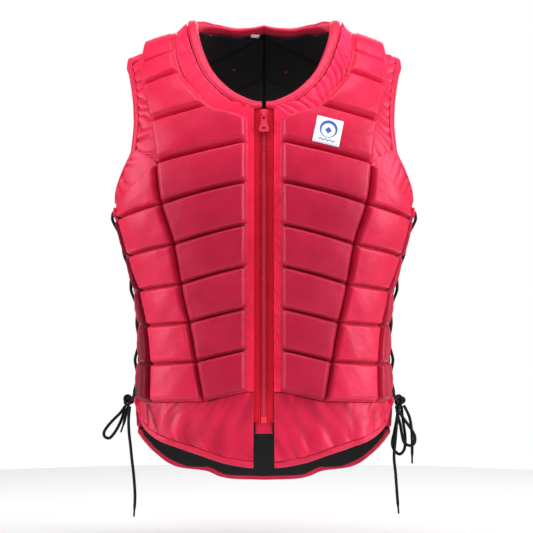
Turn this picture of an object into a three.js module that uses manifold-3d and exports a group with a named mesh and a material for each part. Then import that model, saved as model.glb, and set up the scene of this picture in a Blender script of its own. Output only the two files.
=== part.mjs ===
// Equestrian body protector: a zipped vest of foam blocks under satin, laced at both sides.
// Millimetres, +Z up. The front faces -Y and the wearer's left is +X. The origin is level with
// the inside of the straps where the wearer's shoulders carry them.
import * as THREE from 'three';
import { mergeVertices } from 'three/addons/utils/BufferGeometryUtils.js';
import Module from 'manifold-3d';

const wasm = await Module();
wasm.setup();

// Driving sizes of the body that the vest wraps
const bodyLength = 587;
const chestHalfWidth = 195;
const frontDepth = 104;
const backDepth = 100;
const squareness = 2.4;
const shoulderReach = 120;
const shoulderFall = THREE.MathUtils.degToRad(20);
const fallDepth = 155;
const strapOverhang = 7;

// Openings and edges
const neckHalfWidth = 86;
const neckDrop = 102;
const backNeckDrop = 14;
const neckBinding = 12;
const edgeBinding = 8;
const sideEdgeTurn = 85.4;
const zipHalfWidth = 13;

// Thicknesses and clearances
const blockHeight = 17.5;
const blockCrown = 1.5;
const seamHeight = 5.5;
const seamHalfWidth = 4;
const collarRise = 10;
const clothThickness = 2.4;
const clothHeight = 1.6;
const liningThickness = 1.2;
const bindingProud = 1.2;
const gap = 0.3;
const panelClear = 0.7;
const foldDepth = 3;

// Zip
const tapeHalfWidth = 12.7;
const tapeThickness = 1.2;
const chainHalfWidth = 3.6;
const chainThickness = 3;
const zipTop = 110;
const zipBottom = 493;
const sliderWidth = 8.8;
const sliderLength = 12.5;
const sliderThickness = 3.4;
const bridgeWidth = 3.6;
const bridgeHeight = 4.6;
const bridgeLength = 9.5;
const pullLength = 27;
const pullWidth = 13.6;
const pullWaist = 7.2;
const pullThickness = 1.6;
const pullBar = 1.8;

// Trim and laces
const patchSize = 35;
const patchThickness = 1.2;
const patchTurn = THREE.MathUtils.degToRad(-13.6);
const labelWidth = 12;
const labelHeight = 5;
const laceDiameter = 4;
const laceSides = 8;
const lacePitch = 48;
const laceSpread = 16;
const knotSize = 18;

const satin = { color: 0xd52c50, roughness: 0.45, metalness: 0 };
const mesh = { color: 0x101012, roughness: 0.9, metalness: 0 };
const zipRed = { color: 0xc4141f, roughness: 0.5, metalness: 0 };
const white = { color: 0xf0f0f0, roughness: 0.7, metalness: 0 };
const laceBlack = { color: 0x0c0c0d, roughness: 0.8, metalness: 0 };

// Levels of the body: drop is a share of the body's length, width and depths are shares of the
// chest's half width and of the front's and back's depth
const levels = [
  { drop: 0, width: 0.944, front: 0, back: 0 },
  { drop: 0.012, width: 0.949, front: 0.173, back: 0.2 },
  { drop: 0.045, width: 0.959, front: 0.365, back: 0.46 },
  { drop: 0.1, width: 0.974, front: 0.596, back: 0.74 },
  { drop: 0.17, width: 0.99, front: 0.808, back: 0.92 },
  { drop: 0.26, width: 1, front: 0.952, back: 1 },
  { drop: 0.35, width: 0.99, front: 1, back: 0.99 },
  { drop: 0.45, width: 0.913, front: 0.981, back: 0.92 },
  { drop: 0.55, width: 0.836, front: 0.942, back: 0.83 },
  { drop: 0.65, width: 0.805, front: 0.913, back: 0.79 },
  { drop: 0.75, width: 0.815, front: 0.923, back: 0.81 },
  { drop: 0.85, width: 0.845, front: 0.942, back: 0.86 },
  { drop: 1, width: 0.87, front: 0.962, back: 0.92 },
];

// Armhole's outline from the shoulder to the side: turn round the body in degrees, drop as a
// share of the body's length
const armhole = [
  { turn: 77.5, drop: 0.012 },
  { turn: 75.5, drop: 0.012 },
  { turn: 69.5, drop: 0.037 },
  { turn: 62.5, drop: 0.089 },
  { turn: 59.3, drop: 0.133 },
  { turn: 57.7, drop: 0.182 },
  { turn: 58.5, drop: 0.239 },
  { turn: 67, drop: 0.29 },
  { turn: 79, drop: 0.333 },
  { turn: 88, drop: 0.36 },
];

// Row lines of the chest panel: x as shares of the chest's half width and drops as shares of the
// body's length at the block's inner and outer side; neck is the angle round the neckline; side is
// -1 behind the shoulder line; a line that isn't a seam only bends the blocks
const chestRows = [
  { inX: 0.574, inDrop: 0.012, outX: 0.8, outDrop: 0.012, neck: 0, rise: 1, side: -1, seam: true },
  { inX: 0.574, inDrop: 0.01, outX: 0.81, outDrop: 0.01, neck: 5, rise: 1, side: 1, seam: false },
  { inX: 0.574, inDrop: 0.037, outX: 0.815, outDrop: 0.037, neck: 15, rise: 0.8, side: 1, seam: true },
  { inX: 0.536, inDrop: 0.089, outX: 0.79, outDrop: 0.089, neck: 31, rise: 0.35, side: 1, seam: true },
  { inX: 0.45, inDrop: 0.133, outX: 0.76, outDrop: 0.136, neck: 46, rise: 0.1, side: 1, seam: false },
  { inX: 0.349, inDrop: 0.169, outX: 0.733, outDrop: 0.182, neck: 62, rise: 0, side: 1, seam: true },
  { inX: 0.108, inDrop: 0.2, outX: 0.713, outDrop: 0.232, neck: 90, rise: 0, side: 1, seam: false },
  { inX: 0.108, inDrop: 0.235, outX: 0.692, outDrop: 0.277, neck: null, rise: 0, side: 1, seam: true },
  { inX: 0.108, inDrop: 0.317, outX: 0.656, outDrop: 0.363, neck: null, rise: 0, side: 1, seam: true },
  { inX: 0.108, inDrop: 0.407, outX: 0.574, outDrop: 0.45, neck: null, rise: 0, side: 1, seam: true },
  { inX: 0.108, inDrop: 0.497, outX: 0.528, outDrop: 0.537, neck: null, rise: 0, side: 1, seam: true },
  { inX: 0.108, inDrop: 0.589, outX: 0.476, outDrop: 0.622, neck: null, rise: 0, side: 1, seam: true },
  { inX: 0.108, inDrop: 0.681, outX: 0.433, outDrop: 0.709, neck: null, rise: 0, side: 1, seam: true },
  { inX: 0.108, inDrop: 0.772, outX: 0.39, outDrop: 0.794, neck: null, rise: 0, side: 1, seam: true },
];
// The row where the armhole ends and the seam to the side panel begins, and the row before it
const seamRow = 7;
const cornerRow = 6;
const zipCornerRow = 6;

// Row lines of the side panel below its armhole edge: turns in degrees and drops as shares of the
// body's length at the line between its two columns of blocks and at the side edge
const sideRows = [
  { midTurn: 70, midDrop: 0.378, edgeDrop: 0.395 },
  { midTurn: 70, midDrop: 0.39, edgeDrop: 0.395 },
  { midTurn: 69.5, midDrop: 0.472, edgeDrop: 0.477 },
  { midTurn: 65.5, midDrop: 0.55, edgeDrop: 0.554 },
  { midTurn: 62, midDrop: 0.63, edgeDrop: 0.632 },
  { midTurn: 58.5, midDrop: 0.717, edgeDrop: 0.717 },
  { midTurn: 56.5, midDrop: 0.8, edgeDrop: 0.8 },
];
const armholeAtMid = 7.3;
const armholeAtEdge = 8.45;

// Row lines of the back panel: drops as shares of the body's length at the centre and at the outer
// side of the blocks, whose x follows the chest panel's
const backRows = [
  { centreDrop: 0.038, outDrop: 0.012, like: 0 },
  { centreDrop: 0.05, outDrop: 0.046, like: 2 },
  { centreDrop: 0.119, outDrop: 0.122, like: 4 },
  { centreDrop: 0.178, outDrop: 0.182, like: 5 },
  { centreDrop: 0.226, outDrop: 0.232, like: 6, bend: true },
  { centreDrop: 0.262, outDrop: 0.277, like: 7 },
  { centreDrop: 0.345, outDrop: 0.363, like: 8 },
  { centreDrop: 0.43, outDrop: 0.45, like: 9 },
  { centreDrop: 0.515, outDrop: 0.537, like: 10 },
  { centreDrop: 0.6, outDrop: 0.622, like: 11 },
  { centreDrop: 0.69, outDrop: 0.709, like: 12 },
  { centreDrop: 0.777, outDrop: 0.794, like: 13 },
];
const backColumns = [0, 0.3, 0.52, 0.76];
// Where the back's first row lines meet the armhole, as places in its table
const backArmhole = [0, 2.15, 3.8, 5, 6];

// Hems: turn as a share of a quarter turn, drop as a share of the body's length
const frontHem = [
  { turn: 0, drop: 0.94 },
  { turn: 0.1, drop: 0.935 },
  { turn: 0.2, drop: 0.923 },
  { turn: 0.28, drop: 0.912 },
  { turn: 0.42, drop: 0.897 },
  { turn: 0.63, drop: 0.876 },
  { turn: 0.83, drop: 0.846 },
  { turn: 0.96, drop: 0.82 },
];
const backHem = [
  { turn: 0, drop: 1 },
  { turn: 0.17, drop: 0.995 },
  { turn: 0.235, drop: 0.98 },
  { turn: 0.385, drop: 0.974 },
  { turn: 0.507, drop: 0.957 },
  { turn: 0.625, drop: 0.935 },
  { turn: 0.77, drop: 0.906 },
  { turn: 0.92, drop: 0.879 },
  { turn: 0.96, drop: 0.86 },
];

// Routes of the free lace ends and bow loops, from their knot: x outward, y and z
const laceRoutes = {
  left: {
    knot: [178, 2, -472],
    loop_front: [[-5.8, -2.2, -7.1], [1, -3, -18], [8, -4, -28], [15, -5, -38], [20, -5, -48], [19, -5, -57],
      [13, -4, -60], [6, -3, -56], [3, -1, -45], [1, 1, -33], [-2, 3, -21], [-4.3, 3, -7.2]],
    loop_back: [[-0.7, 6.7, -6], [-3, 10, -25], [-6, 12, -42], [-9, 13, -58], [-6, 13, -68], [1, 12, -73],
      [7, 10, -66], [8, 8, -50], [6, 8, -34], [4, 7, -20], [2.6, 4.1, -7]],
    tail_short: [[5.4, -0.3, -6.2], [13, 2, -22], [16, 3, -38], [17, 4, -55], [17, 4, -72], [17, 4, -85]],
    tail_long: [[-1, -6.3, -6.4], [-4, -11, -24], [-6, -9, -50], [-8, -9, -74], [-6, -8, -95],
      [-4.5, -7, -115], [-3, -6, -133], [-1.5, -5, -151]],
  },
  right: {
    knot: [178, 2, -472],
    loop_front: [[3.6, -3, -6.6], [10, -4, -16], [19, -5, -25], [27, -6, -34], [32, -6, -42], [31, -6, -48],
      [25, -5, -50], [19, -4, -44], [13, -2, -34], [8, 1, -22], [4.7, 2.7, -6.7]],
    tail_short: [[0.4, 5.5, -6.9], [4, 7, -20], [7, 8, -32], [11, 8, -44]],
    tail_long: [[-2.2, -2.4, -7.4], [-0.5, -4, -24], [-1, -4, -42], [-3, -4, -60], [-5, -4, -80],
      [-7.5, -4, -102], [-9, -4, -128], [-7.5, -4, -155]],
  },
};

const lerp = THREE.MathUtils.lerp;
const rad = THREE.MathUtils.degToRad;

// The levels in order from the back's hem over the shoulder to the front's hem. Their place is the
// signed square root of the drop, which keeps the shoulder round.
const stations = [
  ...levels.slice(1).reverse().map((row) => ({
    place: -Math.sqrt(row.drop), width: row.width * chestHalfWidth, depth: -row.back * backDepth,
  })),
  ...levels.map((row) => ({
    place: Math.sqrt(row.drop), width: row.width * chestHalfWidth, depth: row.front * frontDepth,
  })),
];

function slopeAt(k, key) {
  const before = stations[Math.max(k - 1, 0)];
  const after = stations[Math.min(k + 1, stations.length - 1)];
  return (after[key] - before[key]) / (after.place - before.place);
}

// A cubic through the stations, with the slope of the neighbours at each
function along(key, place) {
  let k = 0;
  while (k < stations.length - 2 && stations[k + 1].place < place) k += 1;
  const a = stations[k];
  const b = stations[k + 1];
  const span = b.place - a.place;
  const t = (place - a.place) / span;
  const hold = (1 + 2 * t) * (1 - t) ** 2;
  return hold * a[key] + (1 - hold) * b[key]
    + span * (t * (1 - t) ** 2 * slopeAt(k, key) - t * t * (1 - t) * slopeAt(k + 1, key));
}

// How much of the shoulders' fall is left at a drop below them
function fallWeight(drop) {
  return drop < fallDepth ? Math.cos(0.5 * Math.PI * (drop / fallDepth) ** 1.6) ** 2 : 0;
}

function placeOf(drop) {
  return Math.sign(drop) * Math.sqrt(Math.abs(drop) / bodyLength);
}

// The point of the body at a turn from its centre, in degrees, and a drop below the shoulder line,
// which is negative on the back, with the body's outward direction there
function body(turn, drop) {
  const level = (place) => {
    const width = along('width', place);
    const depth = along('depth', place);
    const fall = bodyLength * place * place;
    const angle = rad(Math.abs(turn));
    const x = Math.sign(turn) * width * Math.sin(angle) ** (2 / squareness);
    const y = -depth * Math.cos(angle) ** (2 / squareness);
    const z = -fall - Math.tan(shoulderFall) * fallWeight(fall) * (Math.abs(x) - shoulderReach);
    return { width, depth, fall, angle, point: new THREE.Vector3(x, y, z) };
  };
  const place = placeOf(drop);
  const here = level(place);
  const step = 0.002;
  const down = level(place + step).point.sub(level(place - step).point);
  const dx = here.width * Math.cos(here.angle) ** (2 - 2 / squareness);
  const dy = here.depth * Math.sin(here.angle) ** (2 - 2 / squareness);
  const sign = Math.sign(turn);
  const dz = -Math.tan(shoulderFall) * fallWeight(here.fall) * dx * sign;
  const around = new THREE.Vector3(dx, dy * sign, dz);
  return { point: here.point, out: down.cross(around).normalize() };
}

function lift(spot, height) {
  const { point, out } = body(spot.turn, spot.drop);
  return point.addScaledVector(out, height);
}

// A spot of the body seen at x from the front or back
function atX(x, drop) {
  const share = Math.min(Math.abs(x) / along('width', placeOf(drop)), 0.9999);
  return { turn: Math.sign(x) * THREE.MathUtils.radToDeg(Math.asin(share ** (squareness / 2))), drop };
}

function between(a, b, t) {
  return { turn: lerp(a.turn, b.turn, t), drop: lerp(a.drop, b.drop, t) };
}

function spacing(a, b) {
  return body(a.turn, a.drop).point.distanceTo(body(b.turn, b.drop).point);
}

// The spot that lies a distance from one spot towards another
function toward(from, to, distance) {
  return between(from, to, distance / spacing(from, to));
}

// Value of a table of turns and drops at a turn's share of a quarter turn
function hemDrop(table, share) {
  let k = 0;
  while (k < table.length - 2 && table[k + 1].turn < share) k += 1;
  const t = (share - table[k].turn) / (table[k + 1].turn - table[k].turn);
  return bodyLength * lerp(table[k].drop, table[k + 1].drop, t);
}

// A spot on the armhole's outline, and the same spot moved into the panel by a binding's width
function armholeSpot(t, inset, side) {
  const at = (u) => {
    const k = Math.min(Math.floor(u), armhole.length - 2);
    const a = armhole[k];
    const b = armhole[k + 1];
    return { turn: lerp(a.turn, b.turn, u - k), drop: side * bodyLength * lerp(a.drop, b.drop, u - k) };
  };
  const spot = at(t);
  if (t < 1) spot.drop = -side * bodyLength * armhole[0].drop * (1 - 2 * t);
  if (!inset) return spot;
  if (t < 6.5) return atX(body(spot.turn, spot.drop).point.x - inset, spot.drop);
  const lean = THREE.MathUtils.smoothstep(t, 6, 8);
  const lowered = spot.drop + side * inset * (0.5 + 0.5 * lean);
  return { turn: spot.turn - (1 - lean) * 2.5, drop: lowered };
}

// A spot on the neckline at an angle from the shoulder, and the same spot moved out by a width
function neckSpot(angle, inset) {
  const t = rad(angle);
  const x = neckHalfWidth * Math.cos(t) ** 1.11;
  const drop = neckDrop * Math.sin(t) ** 1.14;
  return atX(x + inset * Math.cos(t), drop + inset * 0.72 * Math.sin(t));
}

// A closed solid from triangles of points: points are merged and folded triangles are dropped
function solid(triangles) {
  const positions = [];
  const key = (p) => `${Math.round(p.x * 500)},${Math.round(p.y * 500)},${Math.round(p.z * 500)}`;
  for (const corners of triangles) {
    const keys = corners.map(key);
    if (new Set(keys).size < 3) continue;
    corners.forEach((p) => positions.push(p.x, p.y, p.z));
  }
  const geometry = new THREE.BufferGeometry();
  geometry.setAttribute('position', new THREE.Float32BufferAttribute(positions, 3));
  return mergeVertices(geometry, 2e-3);
}

function quads(grid, flip, triangles) {
  for (let r = 0; r < grid.length - 1; r += 1) {
    for (let c = 0; c < grid[r].length - 1; c += 1) {
      const [a, b, d, e] = [grid[r][c], grid[r][c + 1], grid[r + 1][c], grid[r + 1][c + 1]];
      const pair = a.distanceToSquared(e) <= b.distanceToSquared(d)
        ? [[a, d, e], [a, e, b]] : [[a, d, b], [b, d, e]];
      pair.forEach((t) => triangles.push(flip ? [t[0], t[2], t[1]] : t));
    }
  }
}

// Triangles between two polylines with the same ends. The marks are each point's place along its
// line, rising from the same first to the same last value.
function zipTogether(top, bottom, marks, triangles) {
  const [s, t] = marks;
  let i = 0;
  let j = 0;
  while (i < top.length - 1 || j < bottom.length - 1) {
    const advanceTop = j === bottom.length - 1 || (i < top.length - 1 && s[i + 1] <= t[j + 1]);
    if (advanceTop) {
      triangles.push([top[i], bottom[j], top[i + 1]]);
      i += 1;
    } else {
      triangles.push([top[i], bottom[j], bottom[j + 1]]);
      j += 1;
    }
  }
}

const column = (grid, c) => grid.map((row) => row[c]);

// A slab with an outer and an inner face, which are grids of points over the same ground. The
// outer face's rows run down and its columns run from the wearer's right to left on the front.
function slab(outer, inner, flip, rowMarks, columnMarks) {
  const evenly = (line) => line.map((point, i) => i);
  const rows = [rowMarks || evenly(outer), evenly(inner)];
  const columns = [columnMarks || evenly(outer[0]), evenly(inner[0])];
  const turned = (marks) => marks.map((list) => list.slice().reverse().map((mark) => -mark));
  const triangles = [];
  quads(outer, false, triangles);
  quads(inner, true, triangles);
  const lastOuter = outer[0].length - 1;
  const lastInner = inner[0].length - 1;
  zipTogether(outer[0].slice().reverse(), inner[0].slice().reverse(), turned(columns), triangles);
  zipTogether(outer[outer.length - 1], inner[inner.length - 1], columns, triangles);
  zipTogether(column(outer, 0), column(inner, 0), rows, triangles);
  const [lastUp, lastDown] = [column(outer, lastOuter).reverse(), column(inner, lastInner).reverse()];
  zipTogether(lastUp, lastDown, turned(rows), triangles);
  return solid(triangles.map((t) => (flip ? [t[0], t[2], t[1]] : t)));
}

// A copy of a geometry with nothing but its points, each of them once
function bare(geometry) {
  const copy = geometry.clone();
  copy.deleteAttribute('normal');
  copy.deleteAttribute('uv');
  return mergeVertices(copy, 1e-3);
}

// The mirror image of a geometry in the plane between the wearer's left and right
function mirrored(geometry) {
  const copy = bare(geometry).scale(-1, 1, 1);
  const index = copy.index.array;
  for (let i = 0; i < index.length; i += 3) [index[i + 1], index[i + 2]] = [index[i + 2], index[i + 1]];
  return copy;
}

const model = new THREE.Group();

function add(name, geometry, look) {
  const piece = new THREE.Mesh(geometry, new THREE.MeshStandardMaterial(look));
  piece.name = name;
  model.add(piece);
  return piece;
}

function addPair(name, geometry, look) {
  add(`${name}_left`, geometry, look);
  add(`${name}_right`, mirrored(geometry), look);
}

// Fine lines across a panel: each seam line, and a line either side of it where the block's top begins
function fineLines(count, isSeam) {
  const lines = [{ at: 0, shift: 0, top: false }];
  for (let k = 0; k < count; k += 1) {
    const seamBefore = isSeam(k);
    const seamAfter = isSeam(k + 1);
    if (seamBefore) lines.push({ at: k, shift: seamHalfWidth, top: true });
    if (seamBefore && seamAfter) lines.push({ at: k, shift: 'middle', top: true, crown: true });
    if (seamAfter) lines.push({ at: k + 1, shift: -seamHalfWidth, top: true });
    lines.push({ at: k + 1, shift: 0, top: !seamAfter, crown: !seamAfter });
  }
  return lines;
}

// The place of each fine line among the lines of the net
const marksOf = (lines) => lines.map((line) => (
  line.shift === 'middle' ? line.at + 0.5 : line.at + 0.1 * Math.sign(line.shift)
));

// The place of a fine line on a panel's net, as a number of rows or columns
function lineAt(line, distance) {
  if (line.shift === 'middle') return line.at + 0.5;
  if (!line.shift) return line.at;
  const next = line.at + Math.sign(line.shift);
  const share = Math.min(0.35, Math.abs(line.shift) / Math.max(distance(line.at, next), 1e-6));
  return line.at + Math.sign(line.shift) * share;
}

function sample(net, v, u) {
  const r = Math.min(Math.floor(v), net.length - 2);
  const c = Math.min(Math.floor(u), net[0].length - 2);
  const upper = between(net[r][c], net[r][c + 1], u - c);
  return between(upper, between(net[r + 1][c], net[r + 1][c + 1], u - c), v - r);
}

// The outer face of a panel with foam blocks. hasBlock says which cells of the net hold one, and
// seamLift how far the seams and margins rise at a place of the net.
function blockFace(net, rowLines, columnLines, hasBlock, seamLift) {
  return rowLines.map((rowLine) => columnLines.map((columnLine) => {
    const nearRow = Math.min(rowLine.at, net.length - 1);
    const u = lineAt(columnLine, (a, b) => spacing(net[nearRow][a], net[nearRow][b]));
    const nearColumn = Math.min(Math.round(u), net[0].length - 1);
    const v = lineAt(rowLine, (a, b) => spacing(net[a][nearColumn], net[b][nearColumn]));
    const spot = sample(net, v, u);
    let height = seamHeight + seamLift(v, u);
    if (rowLine.top && columnLine.top && hasBlock(v, u)) {
      const r = Math.min(Math.floor(v), net.length - 2);
      const tall = spacing(sample(net, r, u), sample(net, r + 1, u));
      const room = Math.min(1, tall / (3 * seamHalfWidth));
      const crown = rowLine.crown && columnLine.crown ? blockCrown : 0;
      height = lerp(height, blockHeight + crown, room);
    }
    return lift(spot, height);
  }));
}

function plainFace(net, height) {
  const heightAt = (spot) => (typeof height === 'function' ? height(spot) : height);
  return net.map((row) => row.map((spot) => lift(spot, heightAt(spot))));
}

// Net of the chest panel on the wearer's left: neck or zip edge, block's inner side, its middle,
// its outer side, and the armhole edge, which runs into the outer side at the seam row
const outSpot = (k, side, shift) => {
  const row = chestRows[k];
  return atX(row.outX * chestHalfWidth + shift, side * row.outDrop * bodyLength);
};
function chestEdge(row, k) {
  if (row.side < 0) return atX(neckHalfWidth + neckBinding + gap, -strapOverhang);
  if (row.neck === null) return atX(zipHalfWidth, row.inDrop * bodyLength);
  if (k === zipCornerRow) return atX(zipHalfWidth, neckDrop + neckBinding * 0.5);
  return neckSpot(row.neck, neckBinding + gap);
}
const chestNet = chestRows.map((row, k) => {
  const lastShift = k === chestRows.length - 1 ? -gap / 2 : 0;
  const reach = (share) => (row.side < 0 ? -strapOverhang : share * bodyLength + lastShift);
  const inner = atX(row.inX * chestHalfWidth, reach(row.inDrop));
  const outer = atX(row.outX * chestHalfWidth - (k >= seamRow ? panelClear / 2 : 0), reach(row.outDrop));
  const edge = k < seamRow ? armholeSpot([0, 1, 2, 3, 4, 5, 6][k], edgeBinding + gap, 1) : outer;
  if (row.side < 0) edge.drop = -strapOverhang;
  const first = chestEdge(row, k);
  if (lastShift) first.drop += lastShift;
  return [first, inner, between(inner, outer, 0.5), outer, edge];
});
const chestRowLines = fineLines(chestRows.length - 1, (k) => chestRows[k].seam);
const blockColumns = [
  { at: 0, shift: 0, top: false },
  { at: 1, shift: 0, top: false },
  { at: 1, shift: seamHalfWidth, top: true },
  { at: 2, shift: 0, top: true, crown: true },
  { at: 3, shift: -seamHalfWidth, top: true },
  { at: 3, shift: 0, top: false },
  { at: 4, shift: 0, top: false },
];
const riseAt = (v) => {
  const k = Math.min(Math.floor(v), chestRows.length - 2);
  return collarRise * lerp(chestRows[k].rise, chestRows[k + 1].rise, v - k);
};
const chestFace = blockFace(chestNet, chestRowLines, blockColumns, () => true,
  (v, u) => riseAt(v) * Math.max(0, 1 - u));
const [chestRowMarks, chestColumnMarks] = [marksOf(chestRowLines), marksOf(blockColumns)];
const chestSlab = slab(chestFace, plainFace(chestNet, 0), false, chestRowMarks, chestColumnMarks);
addPair('chest_panel', chestSlab, satin);

// Net of a side panel on the wearer's left: seam to the chest or back, the block's middle, the line
// between the two columns, the second block's middle, and the side edge
function sideNet(side, clear) {
  const top = (t) => armholeSpot(t, edgeBinding + gap, side);
  const corner = armholeSpot(cornerRow, edgeBinding + gap - clear, side);
  const edgeTurn = sideEdgeTurn - 4;
  const edgeTop = { turn: edgeTurn, drop: top(armholeAtEdge).drop };
  const mid = top(armholeAtMid);
  const net = [[corner, between(top(6.7), top(6.8), 0.5), mid, top(7.9), edgeTop]];
  sideRows.forEach((row, k) => {
    const last = k === sideRows.length - 1 ? -clear : 0;
    const seam = outSpot(seamRow + k, side, clear);
    const middle = { turn: row.midTurn, drop: side * row.midDrop * bodyLength };
    const edge = { turn: edgeTurn, drop: side * row.edgeDrop * bodyLength };
    [seam, middle, edge].forEach((spot) => { spot.drop += side * last; });
    net.push([seam, between(seam, middle, 0.5), middle, between(middle, edge, 0.5), edge]);
  });
  return net;
}
const sideColumns = [
  { at: 0, shift: 0, top: false },
  { at: 0, shift: seamHalfWidth, top: true },
  { at: 1, shift: 0, top: true, crown: true },
  { at: 2, shift: -seamHalfWidth, top: true },
  { at: 2, shift: 0, top: false },
  { at: 2, shift: seamHalfWidth, top: true },
  { at: 3, shift: 0, top: true, crown: true },
  { at: 4, shift: -seamHalfWidth, top: true },
  { at: 4, shift: 0, top: false },
];
function sidePanel(side) {
  const net = sideNet(side, panelClear / 2);
  const lines = fineLines(net.length - 1, () => true).filter((line) => !(line.at === 0 && line.shift));
  const face = blockFace(net, lines, sideColumns, (v) => v > 1, () => 0);
  return slab(face, plainFace(net, 0), side < 0, marksOf(lines), marksOf(sideColumns));
}
addPair('side_panel', sidePanel(1), satin);
addPair('back_side_panel', sidePanel(-1), satin);

// Net of one half of the back: centre line, two lines in the blocks, a third that the strap's block
// starts from, the blocks' outer side and the armhole edge
function backNet(clear) {
  return backRows.map((row, k) => {
    const last = k === backRows.length - 1 ? -clear : 0;
    const drop = (share) => -(share * bodyLength + last);
    const outer = outSpot(row.like, -1, k > 4 ? -clear : 0);
    outer.drop = drop(row.outDrop);
    if (k === 0) {
      const strapEnd = -strapOverhang - panelClear;
      const edge = armholeSpot(0, edgeBinding + gap, -1);
      return [
        { turn: 0, drop: -(backNeckDrop + edgeBinding) }, atX(neckHalfWidth * 0.84, -backNeckDrop - 5.5),
        atX(neckHalfWidth + neckBinding + gap, strapEnd), atX(chestRows[0].inX * chestHalfWidth, strapEnd),
        atX(chestRows[0].outX * chestHalfWidth, strapEnd), atX(body(edge.turn, edge.drop).point.x, strapEnd),
      ];
    }
    const x = body(outer.turn, outer.drop).point.x;
    const inside = backColumns.map((share) => atX(share * x, drop(lerp(row.centreDrop, row.outDrop, share))));
    const edge = k > 4 ? outer : armholeSpot(backArmhole[k], edgeBinding + gap, -1);
    return [...inside, outer, edge];
  });
}
const backLines = [
  { at: 0, shift: 0, top: false },
  { at: 0, shift: seamHalfWidth, top: true },
  { at: 1, shift: 0, top: true, crown: true },
  { at: 2, shift: 0, top: true, crown: true },
  { at: 3, shift: 0, top: true },
  { at: 3, shift: seamHalfWidth, top: true },
  { at: 4, shift: -seamHalfWidth, top: true },
  { at: 4, shift: 0, top: false },
  { at: 5, shift: 0, top: false },
];
const mirrorGrid = (grid) => grid.map((row) => [
  ...row.slice(1).reverse().map((p) => new THREE.Vector3(-p.x, p.y, p.z)), ...row,
]);
const backRowLines = fineLines(backRows.length - 1, (k) => !backRows[k].bend);
const backRise = (v, u) => (v < 1 && u > 0 && u < 4 ? collarRise * (1 - v) * Math.min(1, u / 2) : 0);
const backIsBlock = (v, u) => v > 1 || u > 3;
const backFace = blockFace(backNet(panelClear / 2), backRowLines, backLines, backIsBlock, backRise);
const halfMarks = marksOf(backLines);
const acrossMarks = [
  ...halfMarks.slice(1).reverse().map((mark) => 5 - mark), ...halfMarks.map((mark) => 5 + mark),
];
const backInner = mirrorGrid(plainFace(backNet(panelClear / 2), 0));
const backPanel = slab(mirrorGrid(backFace), backInner, true, marksOf(backRowLines), acrossMarks);
add('back_centre_panel', backPanel, satin);

// Skirts of cloth below the blocks, with soft folds that deepen to the hem
const skirtRows = 4;
function skirtNet(topSpots, hem, side, clear) {
  const net = [];
  for (let k = 0; k <= skirtRows; k += 1) {
    net.push(topSpots.map((spot) => {
      const top = Math.abs(spot.drop) + clear;
      const bottom = hemDrop(hem, Math.abs(spot.turn) / 90) - edgeBinding - 2 * gap;
      return { turn: spot.turn, drop: side * lerp(top, bottom, k / skirtRows) };
    }));
  }
  return net;
}
function foldAt(spot, level) {
  const wave = Math.sin(rad(spot.turn) * 9) + 0.6 * Math.sin(rad(spot.turn) * 17 + 1);
  return foldDepth * level * Math.max(0, wave) * Math.sin(rad(Math.min(Math.abs(spot.turn), 90)));
}
function clothFace(net, height) {
  return net.map((row, k) => row.map((spot) => lift(spot, height + foldAt(spot, k / (net.length - 1)))));
}
const bottomOf = (net) => net[net.length - 1];
const subdivide = (spots) => spots.flatMap((spot, i) => (
  i ? [between(spots[i - 1], spot, 0.5), spot] : [spot]
));
const frontSideBottom = bottomOf(sideNet(1, 0));
const chestBottom = bottomOf(chestNet).slice(0, 4);
const frontSkirtTop = subdivide([...chestBottom.slice(0, 3), ...frontSideBottom]);
const frontSkirt = skirtNet(frontSkirtTop, frontHem, 1, gap);
const skirtOut = clothFace(frontSkirt, clothHeight + clothThickness);
addPair('skirt', slab(skirtOut, clothFace(frontSkirt, clothHeight)), satin);

const backTop = [...bottomOf(backNet(0)).slice(0, 4), ...bottomOf(sideNet(-1, 0))];
const backSkirtHalf = skirtNet(backTop, backHem, -1, gap);
const backSkirtOuter = mirrorGrid(clothFace(backSkirtHalf, clothHeight + clothThickness));
const backSkirtInner = mirrorGrid(clothFace(backSkirtHalf, clothHeight));
add('back_skirt', slab(backSkirtOuter, backSkirtInner, true), satin);

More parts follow.
